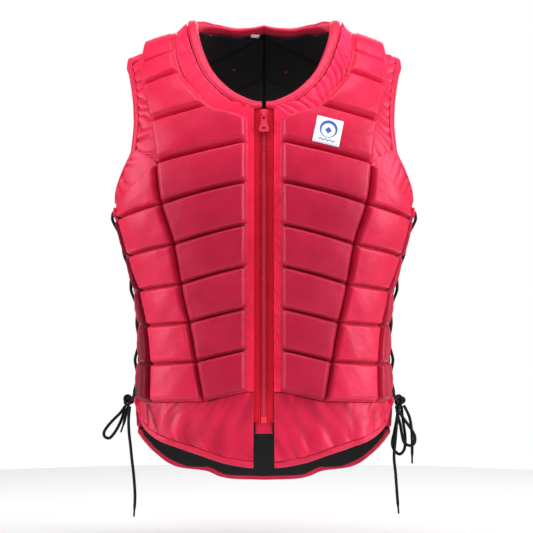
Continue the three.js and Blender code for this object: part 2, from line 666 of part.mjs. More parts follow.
// A sheet between two heights over several nets that share their lines, closed round its outline
function sheet(nets, top, bottom, both) {
  const upper = [];
  const lower = [];
  const edges = new Map();
  const key = (p) => `${Math.round(p.x * 50)},${Math.round(p.y * 50)},${Math.round(p.z * 50)}`;
  const tell = (triangle) => {
    if (new Set(triangle.map((corner) => key(corner.high))).size < 3) return;
    upper.push(triangle.map((corner) => corner.high));
    lower.push([triangle[0], triangle[2], triangle[1]].map((corner) => corner.low));
    triangle.forEach((corner, i) => {
      const next = triangle[(i + 1) % 3];
      const back = `${key(next.high)}|${key(corner.high)}`;
      if (edges.has(back)) edges.delete(back);
      else edges.set(`${key(corner.high)}|${key(next.high)}`, [corner, next]);
    });
  };
  for (const net of nets) {
    const corners = net.map((row) => row.map((spot) => (
      { high: lift(spot, top), low: lift(spot, bottom) }
    )));
    for (const side of both ? [1, -1] : [1]) {
      const turned = corners.map((row) => row.map((corner) => ({
        high: corner.high.clone().setX(side * corner.high.x),
        low: corner.low.clone().setX(side * corner.low.x),
      })));
      for (let r = 0; r < net.length - 1; r += 1) {
        for (let c = 0; c < net[r].length - 1; c += 1) {
          const [a, b, d, e] = [turned[r][c], turned[r][c + 1], turned[r + 1][c], turned[r + 1][c + 1]];
          const short = a.high.distanceToSquared(e.high) <= b.high.distanceToSquared(d.high);
          const pair = short ? [[a, d, e], [a, e, b]] : [[a, d, b], [b, d, e]];
          pair.forEach((t) => tell(side > 0 ? [t[0], t[2], t[1]] : t));
        }
      }
    }
  }
  const walls = [];
  for (const [start, end] of edges.values()) {
    walls.push([start.high, start.low, end.low], [start.high, end.low, end.high]);
  }
  return solid([...upper, ...lower, ...walls]);
}
const liningNets = [backNet(0), sideNet(-1, 0), skirtNet(backTop, backHem, -1, 0)];
add('back_lining', sheet(liningNets, -gap, -gap - liningThickness, true), mesh);

// A binding: a strip between an edge line and a line of the panel, with a low free side
function strip(pairs, top, bottom, flip) {
  const topAt = (k) => (typeof top === 'function' ? top(k) : top);
  const outer = pairs.map(([edge, near], k) => [lift(edge, topAt(k) * 0.7), lift(near, topAt(k))]);
  const inner = pairs.map(([edge, near]) => [lift(edge, bottom * 0.5), lift(near, bottom)]);
  return slab(outer, inner, flip);
}
const bindingTop = seamHeight + bindingProud;
const bindingClear = 0.9;
const neckPairs = chestRows.slice(0, zipCornerRow + 1).map((row, k) => {
  const edge = row.side < 0 ? atX(neckHalfWidth, -strapOverhang) : neckSpot(Math.min(row.neck, 81), 0);
  return [edge, toward(chestNet[k][0], edge, bindingClear)];
});
const neckEnd = 2.7;
neckPairs.push([atX(neckEnd, neckDrop), atX(neckEnd, neckDrop + neckBinding * 0.5 - bindingClear)]);
addPair('neck_binding', strip(neckPairs, (k) => bindingTop + (riseAt(k) || 0), -1, false), satin);

const backNeckPairs = [
  [{ turn: 0, drop: -backNeckDrop }, { turn: 0, drop: -backNeckDrop - edgeBinding + gap }],
  [atX(neckHalfWidth * 0.7, -backNeckDrop + 1), atX(neckHalfWidth * 0.84, -backNeckDrop - 5.5 + gap)],
  [atX(neckHalfWidth, -strapOverhang - gap), atX(neckHalfWidth + neckBinding - 0.5, -strapOverhang - gap)],
];
const backNeckTop = [0, 0.6, 1].map((share) => bindingTop + collarRise * share);
const backNeckOuter = backNeckPairs.map(([edge, near], k) => [
  lift(near, backNeckTop[k]), lift(edge, backNeckTop[k] - 2),
]);
const backNeckInner = backNeckPairs.map(([edge, near]) => [lift(near, -1.8), lift(edge, -0.5)]);
const acrossBack = (grid) => [
  ...grid.slice(1).reverse().map((row) => row.map((p) => p.clone().setX(-p.x))), ...grid,
];
add('back_neck_binding', slab(acrossBack(backNeckOuter), acrossBack(backNeckInner), true), satin);

function armholePairs(side) {
  const strap = side > 0 ? chestNet.slice(0, seamRow) : backNet(0).slice(0, backArmhole.length);
  const turns = side > 0 ? chestNet.slice(0, seamRow).map((row, k) => k) : backArmhole;
  const pairs = strap.map((row, k) => {
    const panel = row[row.length - 1];
    const edge = k ? armholeSpot(turns[k], 0, side)
      : atX(body(armholeSpot(0, 0, side).turn, panel.drop).point.x, panel.drop);
    return [edge, toward(panel, edge, bindingClear)];
  });
  sideNet(side, 0)[0].slice(1).forEach((panel, k) => {
    const edge = armholeSpot([6.75, armholeAtMid, 7.9, armholeAtEdge][k], 0, side);
    pairs.push([edge, toward(panel, edge, bindingClear)]);
  });
  return pairs;
}
addPair('armhole_binding', strip(armholePairs(1), bindingTop, -1, true), satin);
addPair('back_armhole_binding', strip(armholePairs(-1), bindingTop, -1.8, false), satin);

function hemPairs(top, hem, side) {
  return top.map((spot) => {
    const drop = hemDrop(hem, Math.abs(spot.turn) / 90);
    return [{ turn: spot.turn, drop: side * drop }, { turn: spot.turn, drop: side * (drop - edgeBinding) }];
  });
}
function hemStrip(pairs, flip, both) {
  const fold = (pair) => foldAt(pair[1], 1);
  const high = clothHeight + clothThickness + bindingProud;
  const outer = pairs.map((pair) => [lift(pair[1], high + fold(pair)), lift(pair[0], high - 1 + fold(pair))]);
  const inner = pairs.map((pair) => [lift(pair[1], -1.8 + fold(pair)), lift(pair[0], -0.5 + fold(pair))]);
  const wide = (grid) => (both ? acrossBack(grid) : grid);
  return slab(wide(outer), wide(inner), flip);
}
addPair('hem_binding', hemStrip(hemPairs(frontSkirtTop, frontHem, 1), true, false), satin);
add('back_hem_binding', hemStrip(hemPairs(backTop, backHem, -1), false, true), satin);

// Side edge bindings, whose free side runs out to a lace loop at each anchor
const anchorTop = 232;
const anchorBottom = 462;
const anchors = Math.round((anchorBottom - anchorTop) / lacePitch) + 1;
const anchorDrop = (k) => anchorTop + (anchorBottom - anchorTop) * (k / (anchors - 1));
function sideEdge(side) {
  const bottom = hemDrop(side > 0 ? frontHem : backHem, sideEdgeTurn / 90);
  const start = Math.abs(sideNet(side, 0)[0][4].drop) + 3;
  const drops = [start];
  for (let k = 0; k < anchors; k += 1) {
    drops.push(anchorDrop(k) - 9, anchorDrop(k), anchorDrop(k) + 9);
  }
  drops.push(bottom - 1);
  const pairs = drops.map((drop, k) => {
    const loop = k > 0 && k < drops.length - 1 && (k - 2) % 3 === 0;
    const bandTurn = 3.85;
    return [
      { turn: sideEdgeTurn + (loop ? 2 : 0), drop: side * drop },
      { turn: sideEdgeTurn - bandTurn, drop: side * drop },
    ];
  });
  return strip(pairs, bindingTop, side > 0 ? -1 : -1.8, side > 0);
}
addPair('side_edge_binding', sideEdge(1), satin);
addPair('back_side_edge_binding', sideEdge(-1), satin);

// Zip, laid down the front's centre line
function zipStrip(from, to, top, bottom, startDrop, endDrop, steps) {
  const net = [];
  for (let k = 0; k <= steps; k += 1) {
    const drop = lerp(startDrop, endDrop, k / steps);
    net.push([atX(from, drop), atX(to, drop)]);
  }
  return slab(plainFace(net, top), plainFace(net, bottom));
}
const guardThickness = 1.2;
const tapeBottom = guardThickness + gap;
const tapeTop = tapeBottom + tapeThickness;
const zipSteps = 12;
const tapeInner = chainHalfWidth + gap;
const tape = zipStrip(tapeInner, tapeHalfWidth, tapeTop, tapeBottom, zipTop, zipBottom, zipSteps);
addPair('zip_tape', tape, zipRed);
const chainStart = zipTop + sliderLength - 2;
const stopLength = 7;
const chainTop = tapeBottom + chainThickness;
const chainEnd = zipBottom - stopLength - gap;
const stopTop = chainTop + 1;
const stopStart = zipBottom - stopLength;
const guardHalfWidth = 11;
const guardEnd = zipBottom + 14;
const half = chainHalfWidth;
add('zip_chain', zipStrip(-half, half, chainTop, tapeBottom, chainStart, chainEnd, zipSteps), zipRed);
add('zip_stop', zipStrip(-half, half, stopTop, tapeBottom, stopStart, zipBottom, 1), zipRed);
const guard = zipStrip(-guardHalfWidth, guardHalfWidth, guardThickness, 0, zipTop, guardEnd, zipSteps);
add('zip_guard', guard, satin);

// Slider and pull in a frame of their own: x across, y up the zip, z out from the cloth
const sliderSpot = body(0, zipTop + sliderLength / 2 - 3);
const zipDown = body(0, zipTop + 20).point.sub(body(0, zipTop - 10).point).normalize();
const zipFrame = new THREE.Group();
const zipAxes = new THREE.Matrix4().makeBasis(
  new THREE.Vector3(1, 0, 0), zipDown.clone().negate(), zipDown.clone().cross(new THREE.Vector3(1, 0, 0)),
);
zipFrame.quaternion.setFromRotationMatrix(zipAxes);
zipFrame.position.copy(sliderSpot.point);
model.add(zipFrame);

function toManifold(geometry) {
  const merged = bare(geometry);
  return new wasm.Manifold(new wasm.Mesh({
    numProp: 3,
    vertProperties: new Float32Array(merged.attributes.position.array),
    triVerts: new Uint32Array(merged.index.array),
  }));
}
function fromManifold(shape) {
  const out = shape.getMesh();
  const geometry = new THREE.BufferGeometry();
  geometry.setAttribute('position', new THREE.BufferAttribute(out.vertProperties, 3));
  geometry.setIndex(new THREE.BufferAttribute(out.triVerts, 1));
  return geometry;
}

const sliderSeat = tapeTop + gap;
const sliderTop = sliderSeat + sliderThickness;
const bridgeHole = Math.hypot(pullThickness, pullBar) / 2 + gap;
const pivotHeight = sliderTop + bridgeHole + 0.2;
const pivotUp = bridgeLength / 2 - 2.2;
function sliderShape() {
  const half = sliderWidth / 2;
  const long = sliderLength / 2;
  const outline = new THREE.Shape();
  outline.moveTo(-half, long - 2);
  outline.lineTo(-half * 0.75, -long);
  outline.lineTo(half * 0.75, -long);
  outline.lineTo(half, long - 2);
  outline.lineTo(half * 0.6, long);
  outline.lineTo(-half * 0.6, long);
  const base = new THREE.ExtrudeGeometry(outline, { depth: sliderThickness, bevelEnabled: false });
  base.translate(0, 0, sliderSeat);
  const arch = new THREE.Shape();
  const reach = bridgeLength / 2;
  arch.moveTo(-reach, -0.5);
  arch.lineTo(reach, -0.5);
  arch.lineTo(reach, bridgeHeight * 0.6);
  arch.lineTo(reach * 0.7, bridgeHeight);
  arch.lineTo(-reach * 0.6, bridgeHeight);
  arch.lineTo(-reach, bridgeHeight * 0.4);
  const hole = new THREE.Path();
  hole.absarc(pivotUp, pivotHeight - sliderTop, bridgeHole, 0, Math.PI * 2, false);
  arch.holes.push(hole);
  const bridgeCut = { depth: bridgeWidth, bevelEnabled: false, curveSegments: 4 };
  const bridge = new THREE.ExtrudeGeometry(arch, bridgeCut);
  bridge.rotateY(Math.PI / 2).rotateX(Math.PI / 2);
  bridge.computeBoundingBox();
  const box = bridge.boundingBox;
  bridge.translate(-(box.min.x + box.max.x) / 2, 0, sliderTop);
  return fromManifold(toManifold(base).add(toManifold(bridge)));
}
const slider = add('zip_slider', sliderShape(), zipRed);
zipFrame.add(slider);

// The pull hangs from a bar in the slider's bridge: a loop round the bridge, a waist and a wide end
// with a slot. Its frame's origin is on the bar.
function pullShape() {
  const loopHalf = bridgeWidth / 2 + gap + pullBar;
  const window = bridgeLength + 1;
  const outline = new THREE.Shape();
  outline.moveTo(-loopHalf, pullBar / 2);
  outline.lineTo(-loopHalf, -window - 1);
  outline.lineTo(-pullWaist / 2, -window - 4);
  outline.lineTo(-pullWidth / 2, -pullLength + 4);
  outline.quadraticCurveTo(-pullWidth / 2, -pullLength, -pullWidth / 2 + 4, -pullLength);
  outline.lineTo(pullWidth / 2 - 4, -pullLength);
  outline.quadraticCurveTo(pullWidth / 2, -pullLength, pullWidth / 2, -pullLength + 4);
  outline.lineTo(pullWaist / 2, -window - 4);
  outline.lineTo(loopHalf, -window - 1);
  outline.lineTo(loopHalf, pullBar / 2);
  const loop = new THREE.Path();
  loop.moveTo(-bridgeWidth / 2 - gap, -pullBar / 2);
  loop.lineTo(-bridgeWidth / 2 - gap, -window);
  loop.lineTo(bridgeWidth / 2 + gap, -window);
  loop.lineTo(bridgeWidth / 2 + gap, -pullBar / 2);
  const slot = new THREE.Path();
  slot.absellipse(0, -pullLength + 5, 3, 1.5, 0, Math.PI * 2, false);
  outline.holes.push(loop, slot);
  return new THREE.ExtrudeGeometry(outline, { depth: pullThickness, bevelEnabled: false, curveSegments: 3 })
    .translate(0, 0, -pullThickness / 2);
}
const pull = add('zip_pull', pullShape(), zipRed);
pull.position.set(0, pivotUp, pivotHeight);
zipFrame.add(pull);

// A flat plate of cloth laid on the body at a height
function plate(x, drop, width, tall, thickness, height, turn) {
  const spot = body(atX(x, drop).turn, drop);
  const shape = new THREE.BoxGeometry(width, tall, thickness);
  shape.translate(0, 0, height + thickness / 2);
  const up = new THREE.Vector3(0, 0, 1);
  const across = up.clone().cross(spot.out).normalize();
  const upright = spot.out.clone().cross(across);
  const matrix = new THREE.Matrix4().makeBasis(across, upright, spot.out).setPosition(spot.point);
  return shape.applyMatrix4(new THREE.Matrix4().makeRotationZ(turn)).applyMatrix4(matrix);
}
const patchX = 79;
const patchDrop = 127;
const patchHeight = blockHeight + blockCrown + gap / 2;
const patch = plate(patchX, patchDrop, patchSize, patchSize, patchThickness, patchHeight, patchTurn);
add('chest_patch', patch, white);
const labelX = -13;
const labelDrop = -backNeckDrop - edgeBinding - 4;
const labelThickness = 0.8;
const labelClear = 1;
const labelSeat = -liningThickness - labelThickness - labelClear;
const label = plate(labelX, labelDrop, labelWidth, labelHeight, labelThickness, labelSeat, 0);
add('neck_label', label, white);

// A round cord along points, with flat ends
function cord(points, steps, sides, closed) {
  const section = new THREE.Shape();
  for (let k = 0; k < sides; k += 1) {
    const angle = (2 * Math.PI * k) / sides;
    const [x, y] = [Math.cos(angle) * laceDiameter / 2, Math.sin(angle) * laceDiameter / 2];
    if (k) section.lineTo(x, y);
    else section.moveTo(x, y);
  }
  const path = new THREE.CatmullRomCurve3(points, closed, 'centripetal');
  return new THREE.ExtrudeGeometry(section, { extrudePath: path, steps, bevelEnabled: false });
}

// Lacing: one strand zigzags down from loop to loop and a second lies over it in the other phase
const laceHeight = bindingTop + laceDiameter / 2 + gap;
const strandLift = laceDiameter + 2 * gap;
function lacing() {
  const points = [];
  const put = (drop, phase, height) => {
    const spot = body(90, drop);
    const y = phase * laceSpread;
    points.push(new THREE.Vector3(spot.point.x + height - Math.abs(y) * 0.12, y, -drop));
  };
  const knotDrop = -laceRoutes.left.knot[2];
  put(knotDrop, -0.45, laceHeight + strandLift * 0.5);
  for (let k = 0; k < anchors; k += 1) {
    const drop = anchorDrop(anchors - 1 - k);
    const phase = k % 2 ? 1 : -1;
    put(drop + 3, phase, laceHeight);
    put(drop - 3, phase, laceHeight);
  }
  const turnPhase = anchors % 2 ? -1 : 1;
  put(anchorTop - 11, turnPhase * 0.4, laceHeight + strandLift * 0.5);
  for (let k = anchors - 1; k >= 0; k -= 1) {
    const drop = anchorDrop(anchors - 1 - k);
    const phase = k % 2 ? -1 : 1;
    put(drop - 3, phase, laceHeight + strandLift);
    put(drop + 3, phase, laceHeight + strandLift);
  }
  put(knotDrop, 0.68, laceHeight + strandLift * 0.7);
  return cord(points, points.length * 2, 6, false);
}
addPair('side_lacing', lacing(), laceBlack);

for (const [side, route] of Object.entries(laceRoutes)) {
  const sign = side === 'left' ? 1 : -1;
  const knotAt = new THREE.Vector3(...route.knot);
  const knot = new THREE.SphereGeometry(knotSize / 2, 10, 7).scale(0.8, 0.95, 0.85);
  knot.translate(knotAt.x, knotAt.y, knotAt.z);
  add(`bow_knot_${side}`, sign > 0 ? knot : mirrored(knot), laceBlack);
  for (const [name, points] of Object.entries(route)) {
    if (name === 'knot') continue;
    const path = points.map(([x, y, z]) => new THREE.Vector3(
      sign * (knotAt.x + x), knotAt.y + y, knotAt.z + z,
    ));
    add(`bow_${name}_${side}`, cord(path, Math.round(points.length * 1.4), laceSides, false), laceBlack);
  }
}

export default model;
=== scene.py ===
import math

import bmesh
import bpy
import numpy as np
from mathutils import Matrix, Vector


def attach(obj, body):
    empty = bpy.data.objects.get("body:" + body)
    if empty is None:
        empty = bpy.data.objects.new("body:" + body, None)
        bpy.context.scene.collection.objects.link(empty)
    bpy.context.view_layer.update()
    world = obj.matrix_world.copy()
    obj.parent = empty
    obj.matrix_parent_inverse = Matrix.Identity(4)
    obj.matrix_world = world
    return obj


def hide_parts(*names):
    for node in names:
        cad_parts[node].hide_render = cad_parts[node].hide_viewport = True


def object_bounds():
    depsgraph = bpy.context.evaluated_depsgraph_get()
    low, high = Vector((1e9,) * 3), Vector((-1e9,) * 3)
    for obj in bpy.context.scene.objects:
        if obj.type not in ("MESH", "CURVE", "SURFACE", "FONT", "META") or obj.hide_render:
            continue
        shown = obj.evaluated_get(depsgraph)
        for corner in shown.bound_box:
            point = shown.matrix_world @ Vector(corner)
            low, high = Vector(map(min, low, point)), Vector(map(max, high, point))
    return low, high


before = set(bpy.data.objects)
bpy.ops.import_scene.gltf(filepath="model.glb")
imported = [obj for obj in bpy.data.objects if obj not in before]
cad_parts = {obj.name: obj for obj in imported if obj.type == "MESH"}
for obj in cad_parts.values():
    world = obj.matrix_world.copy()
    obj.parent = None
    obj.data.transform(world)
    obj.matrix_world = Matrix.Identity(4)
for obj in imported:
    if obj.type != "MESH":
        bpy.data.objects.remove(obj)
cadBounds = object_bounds()
mm = 0.001

# Camera level with the chest, straight in front
cameraSetup = {"across": 3.3 * mm, "distance": 2.6, "height": -0.293, "lens": 132.0, "sensor": 36}
cameraData = bpy.data.cameras.new("front_camera")
cameraData.lens = cameraSetup["lens"]
cameraData.sensor_width = cameraSetup["sensor"]
camera = bpy.data.objects.new("front_camera", cameraData)
camera.location = (cameraSetup["across"], -cameraSetup["distance"], cameraSetup["height"])
camera.rotation_euler = (math.pi / 2, 0, 0)
bpy.context.collection.objects.link(camera)
bpy.context.scene.camera = camera
bpy.context.scene.view_settings.view_transform = "Standard"
print("camera ready")

# Driving sizes of the body that the vest wraps
vest = {
    "length": 0.587,
    "halfWidth": 0.195,
    "frontDepth": 0.104,
    "backDepth": 0.1,
    "squareness": 2.4,
    "shoulderReach": 0.12,
    "shoulderFall": math.tan(math.radians(20)),
    "fallDepth": 0.155,
    "strapOverhang": 7 * mm,
    "neckHalfWidth": 86 * mm,
    "neckDrop": 0.102,
    "backNeckDrop": 14 * mm,
    "neckBinding": 12 * mm,
    "edgeBinding": 8 * mm,
    "sideEdgeTurn": 85.4,
    "zipHalfWidth": 13 * mm,
    "gap": 0.3 * mm,
}
length = vest["length"]

# Level of the body: drop as a share of the length, then width and depths as shares of theirs
levels = np.array([
    (0, 0.944, 0, 0), (0.012, 0.949, 0.173, 0.2), (0.045, 0.959, 0.365, 0.46), (0.1, 0.974, 0.596, 0.74),
    (0.17, 0.99, 0.808, 0.92), (0.26, 1, 0.952, 1), (0.35, 0.99, 1, 0.99), (0.45, 0.913, 0.981, 0.92),
    (0.55, 0.836, 0.942, 0.83), (0.65, 0.805, 0.913, 0.79), (0.75, 0.815, 0.923, 0.81),
    (0.85, 0.845, 0.942, 0.86), (1, 0.87, 0.962, 0.92),
])
# Armhole from the shoulder to the side: turn round the body in degrees, drop as a share
armhole = np.array([
    (77.5, 0.012), (75.5, 0.012), (69.5, 0.037), (62.5, 0.089), (59.3, 0.133),
    (57.7, 0.182), (58.5, 0.239), (67, 0.29), (79, 0.333), (88, 0.36),
])
# Row lines of the chest: x and drop at the blocks' inner and outer side, angle round the neck,
# collar rise, and whether the line is a seam
chestRows = [
    (0.574, 0.012, 0.8, 0.012, 0, 1, True), (0.574, 0.01, 0.81, 0.01, 5, 1, False),
    (0.574, 0.037, 0.815, 0.037, 15, 0.8, True), (0.536, 0.089, 0.79, 0.089, 31, 0.35, True),
    (0.45, 0.133, 0.76, 0.136, 46, 0.1, False), (0.349, 0.169, 0.733, 0.182, 62, 0, True),
    (0.108, 0.2, 0.713, 0.232, 90, 0, False), (0.108, 0.235, 0.692, 0.277, None, 0, True),
    (0.108, 0.317, 0.656, 0.363, None, 0, True), (0.108, 0.407, 0.574, 0.45, None, 0, True),
    (0.108, 0.497, 0.528, 0.537, None, 0, True), (0.108, 0.589, 0.476, 0.622, None, 0, True),
    (0.108, 0.681, 0.433, 0.709, None, 0, True), (0.108, 0.772, 0.39, 0.794, None, 0, True),
]
seamRow = 7
zipCornerRow = 6
# Row lines of the side panel: turn and drop between its columns, drop at the side edge
sideRows = [
    (70, 0.378, 0.395), (70, 0.39, 0.395), (69.5, 0.472, 0.477), (65.5, 0.55, 0.554),
    (62, 0.63, 0.632), (58.5, 0.717, 0.717), (56.5, 0.8, 0.8),
]
# Row lines of the back: drop at the centre and at the outer side, the chest row they follow, seam
backRows = [
    (0.038, 0.012, 0, True), (0.05, 0.046, 2, True), (0.119, 0.122, 4, True), (0.178, 0.182, 5, True),
    (0.226, 0.232, 6, False), (0.262, 0.277, 7, True), (0.345, 0.363, 8, True), (0.43, 0.45, 9, True),
    (0.515, 0.537, 10, True), (0.6, 0.622, 11, True), (0.69, 0.709, 12, True), (0.777, 0.794, 13, True),
]
backColumns = [0, 0.3, 0.52, 0.76]
backArmhole = [0, 2.15, 3.8, 5, 6]
# Hems: turn as a share of a quarter turn, drop as a share of the length
frontHem = np.array([
    (0, 0.94), (0.1, 0.935), (0.2, 0.923), (0.28, 0.912), (0.42, 0.897), (0.63, 0.876),
    (0.83, 0.846), (0.96, 0.82),
])
backHem = np.array([
    (0, 1), (0.17, 0.995), (0.235, 0.98), (0.385, 0.974), (0.507, 0.957), (0.625, 0.935),
    (0.77, 0.906), (0.92, 0.879), (0.96, 0.86),
])

upper = levels[1:][::-1]
stationPlace = np.concatenate([-np.sqrt(upper[:, 0]), np.sqrt(levels[:, 0])])
stationWidth = np.concatenate([upper[:, 1], levels[:, 1]]) * vest["halfWidth"]
stationDepth = np.concatenate([-upper[:, 3] * vest["backDepth"], levels[:, 2] * vest["frontDepth"]])


# Cubic through values at places, with the slope of the neighbours at each place
def cubicThrough(places, values, at):
    n = len(places)
    before = np.maximum(np.arange(n) - 1, 0)
    after = np.minimum(np.arange(n) + 1, n - 1)
    slope = (values[after] - values[before]) / (places[after] - places[before])
    k = np.clip(np.searchsorted(places, at, side="left") - 1, 0, n - 2)
    span = places[k + 1] - places[k]
    t = (at - places[k]) / span
    hold = (1 + 2 * t) * (1 - t) ** 2
    bend = t * (1 - t) ** 2 * slope[k] - t * t * (1 - t) * slope[k + 1]
    return hold * values[k] + (1 - hold) * values[k + 1] + span * bend


# Cubic through evenly numbered rows that never swings past them: slopes are harmonic means
def rowsThrough(rows, at):
    rows = np.asarray(rows, float)
    shape = (-1,) + (1,) * (rows.ndim - 1)
    step = np.diff(rows, axis=0)
    product = step[:-1] * step[1:]
    total = step[:-1] + step[1:]
    safe = np.where(np.abs(total) < 1e-12, 1, total)
    middle = np.where(product > 0, 2 * product / safe, 0)
    slope = np.concatenate([step[:1], middle, step[-1:]])
    k = np.clip(np.floor(at).astype(int), 0, len(rows) - 2)
    t = (at - k).reshape(shape)
    hold = (1 + 2 * t) * (1 - t) ** 2
    bend = t * (1 - t) ** 2 * slope[k] - t * t * (1 - t) * slope[k + 1]
    return hold * rows[k] + (1 - hold) * rows[k + 1] + bend


# Smooth step from 0 to 1 between two values
def easeBetween(value, start, end):
    t = np.clip((value - start) / (end - start), 0, 1)
    return t * t * (3 - 2 * t)


# The satin stands up round the neck: full between two distances from the centre, nothing at the
# blocks or far below
collar = {
    "lift": 11 * mm, "outer": 0.112, "inner": 0.09, "centre": 0.062, "near": 14 * mm, "far": 72 * mm,
    "backLift": 12 * mm, "backCentre": 0.03, "backFull": 0.08, "backNear": 3 * mm, "backFar": 13 * mm,
}


# Height of the collar: a smooth step across times a smooth step down, and a further lift behind
def collarLift(x, fall, behind):
    across = easeBetween(np.abs(x), collar["outer"], collar["inner"])
    across = across * easeBetween(np.abs(x), 0, collar["centre"])
    extra = collar["backLift"] * behind * easeBetween(fall, collar["backNear"], collar["backFar"])
    extra = extra * easeBetween(np.abs(x), collar["backCentre"], collar["backFull"])
    return (collar["lift"] + extra) * across * easeBetween(fall, collar["far"], collar["near"])


# Share of the shoulder's slope at a drop: a squared cosine that ends at the fall's depth
def fallWeight(drop):
    share = np.clip(drop / vest["fallDepth"], 0, 1)
    return np.cos(0.5 * np.pi * share**1.6) ** 2


# Point of the body at spots of turn in degrees and drop, negative on the back: a superellipse of
# the level's width and depth, lowered outside the shoulder's reach. Out is down crossed with around.
def bodyAt(spots):
    turn, drop = spots[..., 0], spots[..., 1]
    side = np.sign(turn)
    angle = np.radians(np.abs(turn))
    power = 2 / vest["squareness"]
    place = np.sign(drop) * np.sqrt(np.abs(drop) / length)

    def level(p):
        width = cubicThrough(stationPlace, stationWidth, p)
        depth = cubicThrough(stationPlace, stationDepth, p)
        fall = length * p * p
        x = side * width * np.sin(angle) ** power
        y = -depth * np.cos(angle) ** power
        z = -fall - vest["shoulderFall"] * fallWeight(fall) * (np.abs(x) - vest["shoulderReach"])
        return np.stack([x, y, z + collarLift(x, fall, p < 0)], -1), width, depth, fall

    point, width, depth, fall = level(place)
    down = level(place + 0.002)[0] - level(place - 0.002)[0]
    dx = width * np.cos(angle) ** (2 - power)
    dy = depth * np.sin(angle) ** (2 - power)
    dz = -vest["shoulderFall"] * fallWeight(fall) * dx * side
    out = np.cross(down, np.stack([dx, dy * side, dz], -1))
    return point, out / np.linalg.norm(out, axis=-1, keepdims=True)


# Spot of the body seen at x from the front or back
def atX(x, drop):
    place = math.copysign(math.sqrt(abs(drop) / length), drop)
    width = float(cubicThrough(stationPlace, stationWidth, np.array([place]))[0])
    share = min(abs(x) / width, 0.9999)
    return np.array([math.copysign(math.degrees(math.asin(share ** (vest["squareness"] / 2))), x), drop])


# The value a share of the way from one to another
def mix(a, b, t):
    return a + (b - a) * t


# How far across the body a spot lies
def spotX(spot):
    return float(bodyAt(np.asarray(spot))[0][0])


# Drop of a hem at a share of a quarter turn, straight between its points
def hemDrop(table, share):
    return length * np.interp(share, table[:, 0], table[:, 1])


# Moving in from the armhole: sideways as far as one point of its table, from there downwards, with
# the turn that is given up and the share of the width that is kept where it starts
armholeIn = {"sideways": 6.5, "leanFrom": 6, "leanTo": 8, "turn": 2.5, "least": 0.5}


# Spot on the armhole's outline, or the same moved into the panel by a binding's width
def armholeSpot(t, inset, side):
    u = min(t, len(armhole) - 1.001)
    k = int(u)
    turn, drop = mix(armhole[k], armhole[k + 1], u - k)
    spot = np.array([turn, side * length * drop])
    if t < 1:
        spot[1] = -side * length * armhole[0][1] * (1 - 2 * t)
    if not inset:
        return spot
    if t < armholeIn["sideways"]:
        return atX(spotX(spot) - inset, spot[1])
    lean = easeBetween(t, armholeIn["leanFrom"], armholeIn["leanTo"])
    down = mix(armholeIn["least"], 1, lean)
    return np.array([spot[0] - (1 - lean) * armholeIn["turn"], spot[1] + side * inset * down])


neckShape = {"acrossPower": 1.11, "downPower": 1.14, "widthBelow": 0.72}


# Spot on the neckline at an angle from the shoulder, or the same moved out by a width: an oval whose
# cosine and sine are raised to powers
def neckSpot(angle, inset):
    t = math.radians(angle)
    across = max(math.cos(t), 0)
    x = vest["neckHalfWidth"] * across ** neckShape["acrossPower"]
    drop = vest["neckDrop"] * math.sin(t) ** neckShape["downPower"]
    return atX(x + inset * across, drop + inset * neckShape["widthBelow"] * math.sin(t))


gap = vest["gap"]
edgeIn = vest["edgeBinding"] + gap
neckIn = vest["neckBinding"] + gap
panelClear = 0.7 * mm
backNeck = {"near": 0.84, "nearDrop": 5.5 * mm, "edge": 0.7, "edgeRise": mm}
armholeSide = [6, 6.75, 7.3, 7.9, 8.45]
sideBand = {"turn": 4, "near": 3.85}
backSeamRow = 5


# Spot of the seam between chest and side panel at a row, moved out by a shift
def outSpot(k, side, shift):
    return atX(chestRows[k][2] * vest["halfWidth"] + shift, side * chestRows[k][3] * length)


# Chest net: neck or zip edge, blocks' inner side, middle, outer side, armhole edge
def chestNet():
    net = []
    for k, row in enumerate(chestRows):
        behind = k == 0
        inner = atX(row[0] * vest["halfWidth"], -vest["strapOverhang"] if behind else row[1] * length)
        shift = panelClear / 2 if k >= seamRow else 0
        drop = -vest["strapOverhang"] if behind else row[3] * length
        outer = atX(row[2] * vest["halfWidth"] - shift, drop)
        edge = armholeSpot(k, edgeIn, 1) if k < seamRow else outer.copy()
        if behind:
            edge[1] = -vest["strapOverhang"]
            first = atX(vest["neckHalfWidth"] + neckIn, -vest["strapOverhang"])
        elif row[4] is None:
            first = atX(vest["zipHalfWidth"], row[1] * length)
        elif k == zipCornerRow:
            first = atX(vest["zipHalfWidth"], vest["neckDrop"] + vest["neckBinding"] / 2)
        else:
            first = neckSpot(row[4], neckIn)
        net.append([first, inner, mix(inner, outer, 0.5), outer, edge])
    return np.array(net)


# Side net: seam, middle, line between the two columns, middle, side edge; the first row is the armhole
def sideNet(side, clear):
    edgeTurn = vest["sideEdgeTurn"] - sideBand["turn"]
    top = [armholeSpot(place, edgeIn, side) for place in armholeSide]
    top[0] = armholeSpot(armholeSide[0], edgeIn - clear, side)
    top[-1] = np.array([edgeTurn, top[-1][1]])
    net = [top]
    for k, (midTurn, midDrop, edgeDrop) in enumerate(sideRows):
        seam = outSpot(seamRow + k, side, clear)
        middle = np.array([midTurn, side * midDrop * length])
        edge = np.array([edgeTurn, side * edgeDrop * length])
        net.append([seam, mix(seam, middle, 0.5), middle, mix(middle, edge, 0.5), edge])
    return np.array(net)


